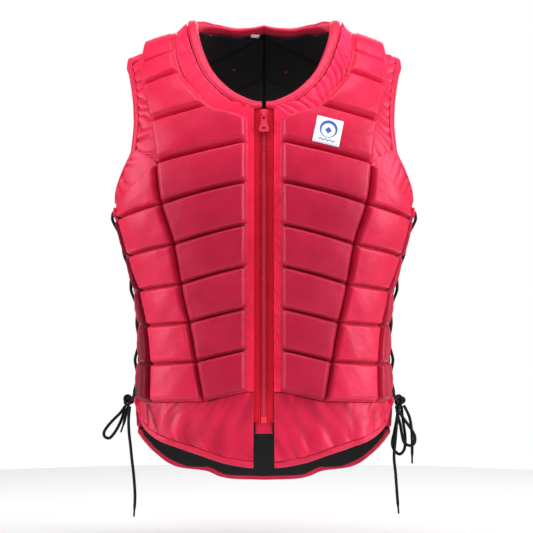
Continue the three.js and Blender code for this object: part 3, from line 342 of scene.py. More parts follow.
# Half of the back's net: centre line, two lines, the strap block's start, outer side, armhole edge
def backNet(clear):
    net = []
    for k, (centreDrop, outDrop, like, seam) in enumerate(backRows):
        if k == 0:
            end = -vest["strapOverhang"] - panelClear
            edge = armholeSpot(0, edgeIn, -1)
            net.append([
                np.array([0, -(vest["backNeckDrop"] + vest["edgeBinding"])]),
                atX(vest["neckHalfWidth"] * backNeck["near"], -vest["backNeckDrop"] - backNeck["nearDrop"]),
                atX(vest["neckHalfWidth"] + neckIn, end), atX(chestRows[0][0] * vest["halfWidth"], end),
                atX(chestRows[0][2] * vest["halfWidth"], end), atX(spotX(edge), end),
            ])
            continue
        beside = k >= backSeamRow
        outer = outSpot(like, -1, -clear if beside else 0)
        outer[1] = -outDrop * length
        x = spotX(outer)
        inside = [atX(share * x, -mix(centreDrop, outDrop, share) * length) for share in backColumns]
        edge = outer.copy() if beside else armholeSpot(backArmhole[k], edgeIn, -1)
        net.append([*inside, outer, edge])
    return np.array(net)


# Spots of a net at fine rows v and columns u: smooth down the rows, straight across between lines
def refine(net, v, u):
    fine = rowsThrough(net, v)
    k = np.clip(np.floor(u).astype(int), 0, net.shape[1] - 2)
    t = (u - k)[None, :, None]
    return fine[:, k] * (1 - t) + fine[:, k + 1] * t


# Fine ticks between numbered lines, in steps of a spacing and in fours, so that a lining can share
# every fourth one
def ticks(lengths, spacing):
    parts = []
    for k, size in enumerate(lengths):
        steps = max(4, 4 * math.ceil(size / spacing / 4))
        parts.append(k + np.arange(steps) / steps)
    return np.concatenate(parts + [np.array([float(len(lengths))])])


# Greatest length of each row and column of a net
def netLengths(net):
    points = bodyAt(net)[0]
    down = np.linalg.norm(np.diff(points, axis=0), axis=-1).max(axis=1)
    across = np.linalg.norm(np.diff(points, axis=1), axis=-1).max(axis=0)
    return down, across


# Running length along an axis of a grid of points
def runningLength(points, axis):
    steps = np.linalg.norm(np.diff(points, axis=axis), axis=-1)
    start = np.zeros_like(np.take(steps, [0], axis=axis))
    return np.concatenate([start, np.cumsum(steps, axis=axis)], axis=axis)


# Distance to the nearest of some lines of a grid along an axis, from running lengths
def lineDistance(running, lines, axis):
    near = np.stack([np.abs(running - np.take(running, [line], axis=axis)) for line in lines])
    return near.min(axis=0)


# Soft noise: seven sine waves in seeded directions, added and divided to about -1 to 1
def softNoise(x, y, scale, seed):
    draw = np.random.RandomState(seed)
    total = 0
    for k in range(7):
        direction = draw.uniform(0, 2 * np.pi)
        phase = draw.uniform(0, 2 * np.pi)
        turns = 2 * np.pi / (scale * draw.uniform(0.6, 1.6))
        total = total + np.sin(turns * (x * np.cos(direction) + y * np.sin(direction)) + phase)
    return total / 3.2


print("body and nets ready")


# A mesh object from points, faces and a UV in metres for each point, with its doubles merged and its
# faces turned outwards
def makePiece(name, points, faces, uv, materials, slots=None, smooth=True, tone=None):
    mesh = bpy.data.meshes.new(name)
    mesh.from_pydata(points.reshape(-1, 3).tolist(), [], [list(map(int, f)) for f in faces])
    for material in materials:
        mesh.materials.append(material)
    layer = mesh.uv_layers.new(name="cloth")
    loopPoint = np.empty(len(mesh.loops), dtype=np.int64)
    mesh.loops.foreach_get("vertex_index", loopPoint)
    layer.data.foreach_set("uv", uv.reshape(-1, 2)[loopPoint].astype(np.float32).ravel())
    # Each point carries a tone, painted light and shade that the cloth's colour is multiplied by
    shade = mesh.attributes.new("tone", "FLOAT", "POINT")
    shade.data.foreach_set("value", np.ones(len(mesh.vertices)) if tone is None else np.ravel(tone))
    if slots is not None:
        mesh.polygons.foreach_set("material_index", np.asarray(slots, dtype=np.int32))
    work = bmesh.new()
    work.from_mesh(mesh)
    bmesh.ops.remove_doubles(work, verts=work.verts, dist=1e-6)
    bmesh.ops.recalc_face_normals(work, faces=work.faces)
    work.to_mesh(mesh)
    work.free()
    mesh.polygons.foreach_set("use_smooth", np.full(len(mesh.polygons), smooth))
    mesh.update()
    piece = bpy.data.objects.new(name, mesh)
    bpy.context.collection.objects.link(piece)
    return piece


# Quads of a grid of rows by columns, counted from a first point
def gridFaces(rows, columns, first=0, flip=False):
    index = first + np.arange(rows * columns).reshape(rows, columns)
    a, b, c, d = index[:-1, :-1], index[:-1, 1:], index[1:, 1:], index[1:, :-1]
    order = (a, d, c, b) if not flip else (a, b, c, d)
    return np.stack(order, -1).reshape(-1, 4)


# A shell: a fine outer grid over a lining grid of every fourth point, joined by fans at its four edges
def shellPiece(name, outer, inner, uv, materials, innerSlot, tone=None):
    rows, columns = outer.shape[:2]
    coarse = inner[::4, ::4]
    coarseRows, coarseColumns = coarse.shape[:2]
    first = rows * columns
    outerIndex = np.arange(first).reshape(rows, columns)
    innerIndex = first + np.arange(coarseRows * coarseColumns).reshape(coarseRows, coarseColumns)
    faces = [list(f) for f in gridFaces(rows, columns)]
    slots = [0] * len(faces)
    liningFaces = [list(f) for f in gridFaces(coarseRows, coarseColumns, first, True)]
    faces += liningFaces
    slots += [innerSlot] * len(liningFaces)
    edges = [
        (outerIndex[0], innerIndex[0]), (outerIndex[-1][::-1], innerIndex[-1][::-1]),
        (outerIndex[:, 0][::-1], innerIndex[:, 0][::-1]), (outerIndex[:, -1], innerIndex[:, -1]),
    ]
    for fine, rough in edges:
        for j in range(len(rough) - 1):
            o = fine[4 * j : 4 * j + 5]
            walls = [[o[0], o[1], rough[j]], [o[1], o[2], rough[j]], [o[2], rough[j + 1], rough[j]],
                     [o[2], o[3], rough[j + 1]], [o[3], o[4], rough[j + 1]]]
            faces += walls
            slots += [0] * len(walls)
    points = np.concatenate([outer.reshape(-1, 3), coarse.reshape(-1, 3)])
    uvs = np.concatenate([uv.reshape(-1, 2), uv[::4, ::4].reshape(-1, 2)])
    if tone is not None:
        tone = np.broadcast_to(tone, (rows, columns))
        tone = np.concatenate([tone.ravel(), tone[::4, ::4].ravel()])
    return makePiece(name, points, faces, uvs, materials, slots, tone=tone)


# Faces of a row of like solids, each of some rings of corners with a cap at either end
def beadFaces(count, rings, corners):
    one = []
    for r in range(rings - 1):
        for k in range(corners):
            n = (k + 1) % corners
            one.append([r * corners + k, r * corners + n, (r + 1) * corners + n, (r + 1) * corners + k])
    one += [list(range(corners))[::-1], [(rings - 1) * corners + k for k in range(corners)]]
    return [[solid * rings * corners + i for i in face] for solid in range(count) for face in one]


# Rides on the vest and replaces its CAD node, which it hides
def standFor(piece, node):
    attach(piece, "vest")
    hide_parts(node)


# The mirror image of points in the plane between the wearer's left and right
def mirrorX(points):
    return points * np.array([-1, 1, 1])


# Materials. Shader inputs that are the same all over are set on the socket itself.
def newMaterial(name, color, roughness, sheen=0.0, specular=0.5):
    material = bpy.data.materials.new(name)
    material.use_nodes = True
    shader = material.node_tree.nodes["Principled BSDF"]
    shader.inputs["Base Color"].default_value = (*color, 1)
    shader.inputs["Roughness"].default_value = roughness
    shader.inputs["Specular IOR Level"].default_value = specular
    shader.inputs["Sheen Weight"].default_value = sheen
    shader.inputs["Sheen Roughness"].default_value = 0.35
    return material, material.node_tree, shader


# A node with some of its inputs set
def addNode(tree, kind, **inputs):
    node = tree.nodes.new(kind)
    for key, value in inputs.items():
        node.inputs[key.replace("_", " ")].default_value = value
    return node


# Coordinates times a scale for each axis, from the object's place or the cloth UV
def scaledCoordinates(tree, source, scale, turn=0.0):
    coordinates = tree.nodes.new("ShaderNodeTexCoord")
    mapping = addNode(tree, "ShaderNodeMapping", Scale=scale, Rotation=(0, 0, turn))
    tree.links.new(coordinates.outputs[source], mapping.inputs["Vector"])
    return mapping.outputs["Vector"]


# Straight bands: a sine along one axis, from 0 to 1
def wave(tree, vector, scale, direction="X"):
    node = addNode(tree, "ShaderNodeTexWave", Scale=scale, Distortion=0)
    node.wave_type = "BANDS"
    node.bands_direction = direction
    tree.links.new(vector, node.inputs["Vector"])
    return node.outputs["Fac"]


# Cloudy values between 0 and 1
def noise(tree, vector, scale, detail=2.0):
    node = addNode(tree, "ShaderNodeTexNoise", Scale=scale, Detail=detail)
    tree.links.new(vector, node.inputs["Vector"])
    return node.outputs["Fac"]


# One operation on one or two values or sockets
def mathNode(tree, operation, first, second=None):
    node = tree.nodes.new("ShaderNodeMath")
    node.operation = operation
    for socket, value in zip(node.inputs, (first, second)):
        if value is None:
            continue
        if isinstance(value, (int, float)):
            socket.default_value = value
        else:
            tree.links.new(value, socket)
    return node.outputs[0]


# Sum of two values times their weights
def weighted(tree, first, firstWeight, second, secondWeight):
    first = mathNode(tree, "MULTIPLY", first, firstWeight)
    return mathNode(tree, "ADD", first, mathNode(tree, "MULTIPLY", second, secondWeight))


# Blend of colours along a factor
def ramp(tree, factor, stops):
    node = tree.nodes.new("ShaderNodeValToRGB")
    elements = node.color_ramp.elements
    while len(elements) < len(stops):
        elements.new(0.5)
    for element, (place, color) in zip(elements, stops):
        element.position = place
        element.color = (*color, 1)
    tree.links.new(factor, node.inputs["Fac"])
    return node.outputs["Color"]


# Surface relief from a height
def bump(tree, shader, height, strength, distance):
    node = addNode(tree, "ShaderNodeBump", Strength=strength, Distance=distance)
    tree.links.new(height, node.inputs["Height"])
    tree.links.new(node.outputs["Normal"], shader.inputs["Normal"])


# Satin nylon: a tight diagonal twill, cloudy variation of the dye and a fine grain
satinLook = {
    "base": (0.6, 0.012, 0.05),
    "deep": (0.5, 0.007, 0.036),
    "bright": (0.7, 0.02, 0.07),
    "specularTint": (1.0, 0.42, 0.6),
    "roughness": 0.4,
    "bindingRoughness": 0.42,
    "twill": 0.9 * mm,
    "twillTurn": math.radians(38),
    "cloudScale": 28,
    "grainScale": 900,
    "greatestShine": 0.5,
    "shineOfTone": 0.7,
}


# A colour times the tone at each point, the painted light and shade stored on the cloth
def scaledByPaintedLight(tree, color):
    shade = tree.nodes.new("ShaderNodeAttribute")
    shade.attribute_name = "tone"
    toned = tree.nodes.new("ShaderNodeVectorMath")
    toned.operation = "SCALE"
    tree.links.new(color, toned.inputs[0])
    tree.links.new(shade.outputs["Fac"], toned.inputs["Scale"])
    return toned.outputs[0], shade.outputs["Fac"]


# The dye varies with clouds and twill. It is multiplied by the tone, painted light and shade, and where the
# tone is painted lighter the cloth shines more
def makeSatin(name, roughness):
    material, tree, shader = newMaterial(name, satinLook["base"], roughness, sheen=0.06)
    shader.inputs["Specular Tint"].default_value = (*satinLook["specularTint"], 1)
    shader.inputs["Anisotropic"].default_value = 0.35
    cloth = scaledCoordinates(tree, "UV", (1, 1, 1), satinLook["twillTurn"])
    place = scaledCoordinates(tree, "Object", (1, 1, 1))
    clouds = noise(tree, place, satinLook["cloudScale"], 3)
    twill = wave(tree, cloth, 1 / satinLook["twill"] / 20 * math.pi)
    grain = noise(tree, cloth, satinLook["grainScale"], 2)
    dye = weighted(tree, clouds, 0.75, twill, 0.25)
    stops = [(0.25, satinLook["deep"]), (0.5, satinLook["base"]), (0.8, satinLook["bright"])]
    color = ramp(tree, dye, stops)
    toned, shade = scaledByPaintedLight(tree, color)
    tree.links.new(toned, shader.inputs["Base Color"])
    shine = mathNode(tree, "MULTIPLY", shade, satinLook["shineOfTone"])
    shine = mathNode(tree, "MINIMUM", satinLook["greatestShine"], shine)
    tree.links.new(shine, shader.inputs["Specular IOR Level"])
    relief = weighted(tree, twill, 0.6, grain, 0.4)
    bump(tree, shader, relief, 0.25, 0.12 * mm)
    return material


# Black knitted mesh: rows of small round holes between threads
def makeMesh(name):
    material, tree, shader = newMaterial(name, (0.006, 0.006, 0.007), 0.85, sheen=0.15, specular=0.25)
    cloth = scaledCoordinates(tree, "UV", (1, 1, 1))
    holes = addNode(tree, "ShaderNodeTexVoronoi", Scale=620.0, Randomness=0.15)
    tree.links.new(cloth, holes.inputs["Vector"])
    stops = [(0.12, (0.001, 0.001, 0.001)), (0.42, (0.016, 0.014, 0.016))]
    color = ramp(tree, holes.outputs["Distance"], stops)
    tree.links.new(scaledByPaintedLight(tree, color)[0], shader.inputs["Base Color"])
    bump(tree, shader, holes.outputs["Distance"], 0.6, 0.3 * mm)
    return material


satin = makeSatin("satin_nylon", satinLook["roughness"])
bindingSatin = makeSatin("binding_satin", satinLook["bindingRoughness"])
meshCloth = makeMesh("black_mesh")
print("cloth materials ready")

# The padded panels: foam blocks under satin, with a narrow sewn groove between them
padding = {
    "blockHeight": 17.5 * mm,
    "crown": 1.3 * mm,
    "grooveHeight": 5.2 * mm,
    "edgeRun": 3.2 * mm,
    "edgePower": 2.2,
    "wallRun": 5.5 * mm,
    "wallPower": 1.35,
    "sidePower": 1.7,
    "spacing": 1.7 * mm,
    "backSpacing": 1.85 * mm,
    "collarRise": 10 * mm,
    "flankThin": 0.5,
    "crownReach": 24 * mm,
    "pucker": 0.225 * mm,
    "puckerFade": 5 * mm,
    "puckerAcross": 3.4 * mm,
    "puckerDown": 3.1 * mm,
    "puckerWander": 30 * mm,
    "dimple": 0.5 * mm,
    "dimpleSize": 55 * mm,
    "grain": 0.06 * mm,
    "grainSize": 11 * mm,
    "fill": 0.85,
}
blockBody = padding["blockHeight"] - padding["grooveHeight"]


# Round shoulder of a block: a superellipse quarter over a run from a groove
def shoulder(distance, run, power):
    share = np.clip(distance / run, 0, 1)
    return (1 - (1 - share) ** power) ** (1 / power)


# Height of satin over foam blocks, from the nearest grooves: a short round edge at a block's top and
# sides and a longer slanted wall at its bottom, multiplied, with a crown over the block, creases that
# fade from the grooves, and unevenness. Each row line has the depth of its groove and its wall's run.
def blockHeights(down, across, rowLines, columnLines, wide, seed, depths=None, walls=None):
    depths = np.ones(len(rowLines)) if depths is None else depths
    walls = np.full(len(rowLines), padding["wallRun"]) if walls is None else walls
    rows = 1
    for line, depth, wall in zip(rowLines, depths, walls):
        signed = down - np.take(down, [line], axis=0)
        below = shoulder(signed, padding["edgeRun"], padding["edgePower"])
        above = shoulder(-signed, wall, padding["wallPower"])
        rows = np.minimum(rows, 1 - depth * (1 - np.where(signed >= 0, below, above)))
    rowDistance = lineDistance(down, rowLines, 0)
    columnDistance = lineDistance(across, columnLines, 1)
    top = rows * shoulder(columnDistance, wide, padding["sidePower"])
    far, fade = padding["crownReach"], padding["puckerFade"]
    crown = np.clip(rowDistance / far, 0, 1) * np.clip(columnDistance / far, 0, 1)
    crown = crown * (2 - crown) * padding["crown"]
    wander = padding["puckerWander"]
    acrossBeat = across / padding["puckerAcross"] + 2 * softNoise(across, down, wander, seed)
    downBeat = down / padding["puckerDown"] + 2 * softNoise(down, across, wander, seed + 1)
    creases = np.exp(-rowDistance / fade) * np.sin(acrossBeat)
    creases += np.exp(-columnDistance / fade) * np.sin(downBeat)
    uneven = softNoise(across, down, padding["dimpleSize"], seed + 2) * padding["dimple"]
    grain = softNoise(across, down, padding["grainSize"], seed + 3) * padding["grain"]
    return padding["grooveHeight"] + top * (blockBody + crown + uneven + grain) + creases * padding["pucker"]


# Satin margins outside the blocks, gathered by the binding
gatherShape = {
    "period": 4.4 * mm,
    "leanSize": 60 * mm,
    "wander": 1.1,
    "wanderSize": 40 * mm,
    "unevenSize": 50 * mm,
    "sharpness": 0.7,
    "middle": 0.6,
}


# Creases across a margin with sharp valleys, as the power of a sine's size. They lean and wander, and
# fade away from the edge.
def gathers(along, away, depth, reach, seed):
    lean = away * np.sin(along / gatherShape["leanSize"] + seed)
    wander = gatherShape["wander"] * softNoise(along, away, gatherShape["wanderSize"], seed)
    beat = (along + lean) / gatherShape["period"] + wander
    strength = 0.55 + 0.6 * np.abs(softNoise(along, away, gatherShape["unevenSize"], seed + 1))
    valleys = np.abs(np.sin(beat)) ** gatherShape["sharpness"] - gatherShape["middle"]
    return depth * strength * valleys * np.exp(-away / reach)


# Painted shade of folds: valleys are painted darker than the cloth between them, and the crests a little
# lighter, in step with their depth
def paintedFoldShade(folds, strength, full):
    return 1 + strength * np.clip(folds / full, -1, 0.35)


# UV of cloth in metres along and down it
def clothUv(down, across):
    return np.stack([across, -down], -1)


# Fine grid of a panel: its row and column ticks, points of the body and directions out of it
def panelGrid(net, spacing):
    down, across = netLengths(net)
    v = ticks(down, spacing)
    u = ticks(across, spacing)
    base, out = bodyAt(refine(net, v, u))
    return v, u, base, out


# Places of numbered lines among fine ticks
def linesAt(fineTicks, marks):
    return [int(np.argmin(np.abs(fineTicks - mark))) for mark in marks]


# A padded shell of satin over mesh, mirrored for the wearer's right
def padPiece(name, points, base, down, across, node, mirror=1, tone=None):
    inner = base.copy()
    if mirror < 0:
        points, inner = mirrorX(points), mirrorX(inner)
    piece = shellPiece(name, points, inner, clothUv(down, across), [satin, meshCloth], 1, tone)
    standFor(piece, node)


# The two sides of the chest: how deep and far the neck gathers the satin, and how bright the strap and the
# strip beside the zip are painted, the strip at four rows. The strap's brightness is painted light, the
# strip's a painted highlight of the satin's sheen.
chestSides = {
    "left": {
        "mirror": 1, "seed": 11, "neckFolds": 4.2 * mm, "neckReach": 30 * mm, "strapPaintedLight": 1.3,
        "placketPaintedHighlight": [1.2, 1.6, 2.0, 2.4],
    },
    "right": {
        "mirror": -1, "seed": 47, "neckFolds": 1.5 * mm, "neckReach": 17 * mm, "strapPaintedLight": 1.1,
        "placketPaintedHighlight": [1.2, 1.4, 1.7, 2.2],
    },
}
# Rows of the chest's net where the tones are given, and the blocks' tones below the strap: painted light,
# lighter on the upper blocks and darker downwards as painted shade
placketRows = [0, 5, 7, 8]
toneRows = [0, 2, 3, 5, 7, 8, 13]
blockPaintedLight = [1.05, 0.95, 0.85, 0.68, 0.66]
# Seams of the chest that differ: depth of the groove as a share, and run of the wall above it
seamShapes = {2: (0.3, 4 * mm), 3: (1, 7 * mm), 5: (1, 9.5 * mm), 7: (1, 9.5 * mm), 8: (1, 7 * mm)}
chestShape = {
    "blockSide": 7.5 * mm,
    "armholeFolds": 3 * mm,
    "armholeReach": 15 * mm,
    "neckRows": 5.8,
    "foldsBelow": 0.15,
    "paintedFoldShade": 0.6,
    "paintedFoldShadeFull": 1.8 * mm,
}
# The strap: rows between which it begins and ends, columns over which its blocks' inner sides stay
# high, their height as a share of a block's, and the rise and dip of the margin beside them
strapShape = {
    "rows": (3.9, 2.6),
    "topRows": (1.6, 0.4),
    "columns": (1.6, 1.2),
    "side": 0.6,
    "sideAtTop": 0.92,
    "groove": 3.5 * mm,
    "rise": 1.08,
    "dip": 0.32,
    "dipAtTop": 0.06,
}


# Chest panels: the blocks run from the zip to the armhole, and the satin rises to a collar at the neck
def chestPanels():
    v, u, base, out = panelGrid(chestNet(), padding["spacing"])
    down, across = runningLength(base, 0), runningLength(base, 1)
    seams = [k for k, row in enumerate(chestRows) if row[6]]
    shapes = [seamShapes.get(k, (1, padding["wallRun"])) for k in seams]
    depths, walls = zip(*shapes)
    rowLines = linesAt(v, seams)
    columnLines = linesAt(u, [1, 3])
    rise = rowsThrough(np.array([row[5] for row in chestRows], float), v)[:, None] * padding["collarRise"]
    beside = easeBetween(v, *strapShape["rows"])[:, None]
    atTop = easeBetween(v, *strapShape["topRows"])[:, None]
    high = mix(strapShape["side"], strapShape["sideAtTop"], atTop) * blockBody * beside
    high = high * easeBetween(u, *strapShape["columns"])[None, :]
    margin = ((u <= 1) | (u >= 3))[None, :]
    # Beside the strap the margin stays as high as the blocks, with a narrow groove between
    fromBlock = np.clip(np.abs(across - across[:, columnLines[:1]]) / strapShape["groove"], 0, 1)
    dip = mix(strapShape["dip"], strapShape["dipAtTop"], atTop)
    full = strapShape["rise"] * (1 - dip * (1 - fromBlock) ** 2)
    share = np.clip(1 - u, 0, 1)[None, :]
    share = np.where((u < 1)[None, :], mix(share, full, beside), share)
    flat = padding["grooveHeight"] + rise * share
    innerEdge = across - across[:, :1]
    outerEdge = across[:, -1:] - across
    atNeck = np.where((v < chestShape["neckRows"])[:, None], 1, chestShape["foldsBelow"])
    for word, side in chestSides.items():
        seed = side["seed"]
        height = blockHeights(down, across, rowLines, columnLines, chestShape["blockSide"], seed,
                              depths, walls)
        height = np.maximum(height, padding["grooveHeight"] + high)
        neckFolds = gathers(down, innerEdge, side["neckFolds"], side["neckReach"], seed + 5) * atNeck
        sideFolds = gathers(down, outerEdge, chestShape["armholeFolds"], chestShape["armholeReach"],
                            seed + 6)
        folds = np.where((u < 2)[None, :], neckFolds, sideFolds)
        height = np.where(margin, flat + folds, height)
        # Painted light and shade: the strap lighter, the blocks darker downwards, a painted highlight on the
        # strip beside the zip, and painted shade in the margins' fold valleys
        tone = np.interp(v, toneRows, [side["strapPaintedLight"]] * 2 + blockPaintedLight)[:, None]
        placket = np.interp(v, placketRows, side["placketPaintedHighlight"])[:, None]
        tone = tone * np.where(u[None, :] < 1, placket, 1)
        shade = paintedFoldShade(folds, chestShape["paintedFoldShade"], chestShape["paintedFoldShadeFull"])
        tone = tone * np.where(margin, shade, 1)
        points = base + out * height[..., None]
        name, node = f"chest_blocks_{word}", f"chest_panel_{word}"
        padPiece(name, points, base, down, across, node, side["mirror"], tone)


chestPanels()
print("chest panels ready")

# The blocks of a side panel thin between two columns towards the laced edge. Its tone is painted light and
# shade: the first column a little darker, the flank's column much darker as painted shade where it turns
# from the light, more so on the wearer's right.
flankShape = {
    "blockSide": 5.5 * mm,
    "thinColumns": (2.3, 3.5),
    "foldDepth": 2 * mm,
    "foldReach": 16 * mm,
    "paintedFoldShade": 0.6,
    "paintedFoldShadeFull": 1.5 * mm,
    "tone": 0.95,
    "flankPaintedShade": {"left": 0.6, "right": 0.24},
}


# Side panels: two columns of blocks from the armhole to the hips. The first row is the armhole's
# margin, which stays low and gathered.
def sidePanels(side, prefix, node, firstSeed):
    net = sideNet(side, panelClear / 2)
    v, u, base, out = panelGrid(net, padding["spacing"])
    down, across = runningLength(base, 0), runningLength(base, 1)
    rowLines = linesAt(v, range(1, len(net)))
    columnLines = linesAt(u, [0, 2, 4])
    thin = 1 - padding["flankThin"] * easeBetween(u, *flankShape["thinColumns"])[None, :]
    inMargin = (np.arange(len(v)) <= rowLines[0])[:, None]
    for mirror, word in ((1, "left"), (-1, "right")):
        seed = firstSeed + (0 if mirror > 0 else 29)
        height = blockHeights(down, across, rowLines, columnLines, flankShape["blockSide"], seed)
        height = padding["grooveHeight"] + (height - padding["grooveHeight"]) * thin
        folds = gathers(across, down, flankShape["foldDepth"], flankShape["foldReach"], seed + 5)
        height = np.where(inMargin, padding["grooveHeight"] + folds, height)
        # Painted shade: the flank's column darker, and the margin darker in its fold valleys
        tone = np.where(u[None, :] > 2, flankShape["flankPaintedShade"][word], flankShape["tone"])
        shade = paintedFoldShade(folds, flankShape["paintedFoldShade"], flankShape["paintedFoldShadeFull"])
        tone = np.where(inMargin, flankShape["tone"] * shade, tone)
        points = base + out * height[..., None]
        padPiece(f"{prefix}_{word}", points, base, down, across, f"{node}_{word}", mirror, tone)


sidePanels(1, "side_blocks", "side_panel", 88)
sidePanels(-1, "back_side_blocks", "back_side_panel", 100)
print("side panels ready")

backShape = {"blockSide": 6.5 * mm, "foldDepth": 0.5 * mm, "foldReach": 6 * mm}


# Back panel: blocks either side of a centre groove, and one on each strap. Above the first row the
# satin between the straps rises to the neck, and outside the blocks it lies low and gathered.
def backPanel():
    v, u, base, out = panelGrid(backNet(panelClear / 2), padding["backSpacing"])
    base = np.concatenate([mirrorX(base[:, :0:-1]), base], axis=1)
    out = np.concatenate([mirrorX(out[:, :0:-1]), out], axis=1)
    u = np.concatenate([-u[:0:-1], u])
    down, across = runningLength(base, 0), runningLength(base, 1)
    rowLines = linesAt(v, [k for k, row in enumerate(backRows) if row[3]])
    bodyLines, strapLines = linesAt(u, [-4, 0, 4]), linesAt(u, [-4, -3, 3, 4])
    height = blockHeights(down, across, rowLines, bodyLines, backShape["blockSide"], 131)
    strapHeight = blockHeights(down, across, rowLines, strapLines, backShape["blockSide"], 137)
    first = (v < 1)[:, None]
    column = np.abs(u)[None, :]
    rise = padding["collarRise"] * (1 - np.clip(v, 0, 1) ** 3)[:, None] * np.clip(column / 2, 0, 1)
    folds = gathers(across, down, backShape["foldDepth"], backShape["foldReach"], 139)
    flat = padding["grooveHeight"] + rise * (column <= 3) + folds
    height = np.where(first, np.where(column > 3, strapHeight, flat), height)
    folds = gathers(down, down * 0, backShape["foldDepth"], backShape["foldReach"], 141)
    height = np.where(column > 4, padding["grooveHeight"] + folds, height)
    padPiece("back_blocks", base + out * height[..., None], base, down, across, "back_centre_panel")


backPanel()
print("back panel ready")


# Smooth line of spots at even steps along it
def fineLine(spots, spacing):
    spots = np.asarray(spots)
    lengths = np.linalg.norm(np.diff(bodyAt(spots)[0], axis=0), axis=-1)
    return rowsThrough(spots, ticks(lengths, spacing))


# Skirts: cloth that hangs from the last row of blocks, with folds that deepen towards the hem
skirtCloth = {
    "height": 2.6 * mm,
    "thickness": 1.4 * mm,
    "spacing": 2.0 * mm,
    "foldDepth": 3 * mm,
    "drape": 1.1 * mm,
    "drapeSize": 35 * mm,
    "slant": 0.9 * mm,
    "slantSize": 40 * mm,
    "gathers": 1.0 * mm,
    "sewnReach": 12 * mm,
    "hemReach": 14 * mm,
    "tone": 0.9,
    "paintedFoldShade": 0.4,
    "paintedFoldShadeFull": 1.2 * mm,
    "frontTall": 72 * mm,
    "backTall": 116 * mm,
}
crease = {"wide": 1.7 * mm, "deep": 1.6 * mm, "shade": 0.6}


# Depth of the skirt's folds: two sines of the turn round the body, where they are above zero. They
# deepen from the blocks to the hem and fade at the centre.
def foldAt(turn, level):
    angle = np.radians(turn)
    waves = np.sin(angle * 9) + 0.6 * np.sin(angle * 17 + 1)
    across = np.sin(np.radians(np.minimum(np.abs(turn), 90)))
    return skirtCloth["foldDepth"] * level * np.maximum(0, waves) * across


# Drop of a hem at a turn in degrees, level past the table's end
def hemAt(table, turn):
    return length * cubicThrough(table[:, 0], table[:, 1], np.minimum(np.abs(turn) / 90, table[-1, 0]))


# Grid of spots between a top line and the hem's binding
def skirtSpots(topLine, hem, side, clear, rows):
    top = np.abs(topLine[:, 1]) + clear
    bottom = hemAt(hem, topLine[:, 0]) - vest["edgeBinding"] - 2 * gap
    level = np.linspace(0, 1, rows + 1)[:, None]
    drop = side * (top[None, :] * (1 - level) + bottom[None, :] * level)
    turn = np.broadcast_to(topLine[None, :, 0], drop.shape)
    return np.stack([turn, drop], -1), level


# A grid of points, directions, heights or tones, continued past the centre to the other side
def bothSides(half, turned=False):
    other = half[:, :0:-1]
    return np.concatenate([mirrorX(other) if turned else other, half], axis=1)


# A cloth shell between two heights over a grid of spots
def clothShell(name, spots, outerHeight, innerHeight, materials, node, mirror=1, both=False,
               tone=None):
    base, out = bodyAt(spots)
    if both:
        base, out = bothSides(base, True), bothSides(out, True)
        outerHeight, innerHeight = bothSides(outerHeight), bothSides(innerHeight)
        tone = None if tone is None else bothSides(tone)
    if mirror < 0:
        base, out = mirrorX(base), mirrorX(out)
    down, across = runningLength(base, 0), runningLength(base, 1)
    outer = base + out * outerHeight[..., None]
    inner = base + out * innerHeight[..., None]
    piece = shellPiece(name, outer, inner, clothUv(down, across), materials, len(materials) - 1, tone)
    standFor(piece, node)


chestBottom = chestNet()[-1]
frontSideBottom = sideNet(1, 0)[-1]
frontSkirtTop = np.concatenate([chestBottom[:3], frontSideBottom])
backBottom = backNet(0)[-1]
backSkirtTop = np.concatenate([backBottom[:4], sideNet(-1, 0)[-1]])


# Distance of points from the line between two places, in x and z
def fromLine(base, start, end):
    start, end = np.array(start), np.array(end)
    spot = base[..., [0, 2]] - start
    along = np.clip((spot @ (end - start)) / np.sum((end - start) ** 2), 0, 1)
    return np.linalg.norm(spot - along[..., None] * (end - start), axis=-1)


# Two creases at the hip, as lines in x and z
hipCreases = [((0.151, -0.4705), (0.149, -0.4997)), ((0.148, -0.473), (0.1338, -0.5095))]


# Height and tone of a skirt: folds, slanted soft drapes, gathers below the blocks and above the hem, and
# creases at the hip of one side. The tone is painted light and shade: painted shade in the gathers' valleys
# and the hip creases, and the slanted drapes painted lighter on their crests and darker in their hollows.
def skirtHeights(spots, level, seed, creased=False):
    base = bodyAt(spots)[0]
    down, across = runningLength(base, 0), runningLength(base, 1)
    folds = foldAt(spots[..., 0], level)
    drape = softNoise(across, down * 0.35, skirtCloth["drapeSize"], seed)
    drape = drape * skirtCloth["drape"] * (0.35 + 0.65 * level)
    lean = 1.5 * across - 0.8 * down
    slanted = softNoise(lean, 0.3 * (across + down), skirtCloth["slantSize"], seed + 7)
    sewn = gathers(across, down, skirtCloth["gathers"], skirtCloth["sewnReach"], seed + 1)
    atHem = gathers(across, down[-1:] - down, skirtCloth["gathers"], skirtCloth["hemReach"], seed + 2)
    tone = paintedFoldShade(sewn + atHem, skirtCloth["paintedFoldShade"], skirtCloth["paintedFoldShadeFull"])
    tone = (1 + 0.2 * np.clip(slanted, -1, 0.6)) * tone
    height = skirtCloth["height"] + folds + drape + skirtCloth["slant"] * slanted * level + sewn + atHem
    if creased:
        for start, end in hipCreases:
            dent = np.exp(-((fromLine(base, start, end) / crease["wide"]) ** 2))
            height = height - crease["deep"] * dent
            tone = tone * (1 - crease["shade"] * dent)
    return height + skirtCloth["thickness"], height, skirtCloth["tone"] * tone


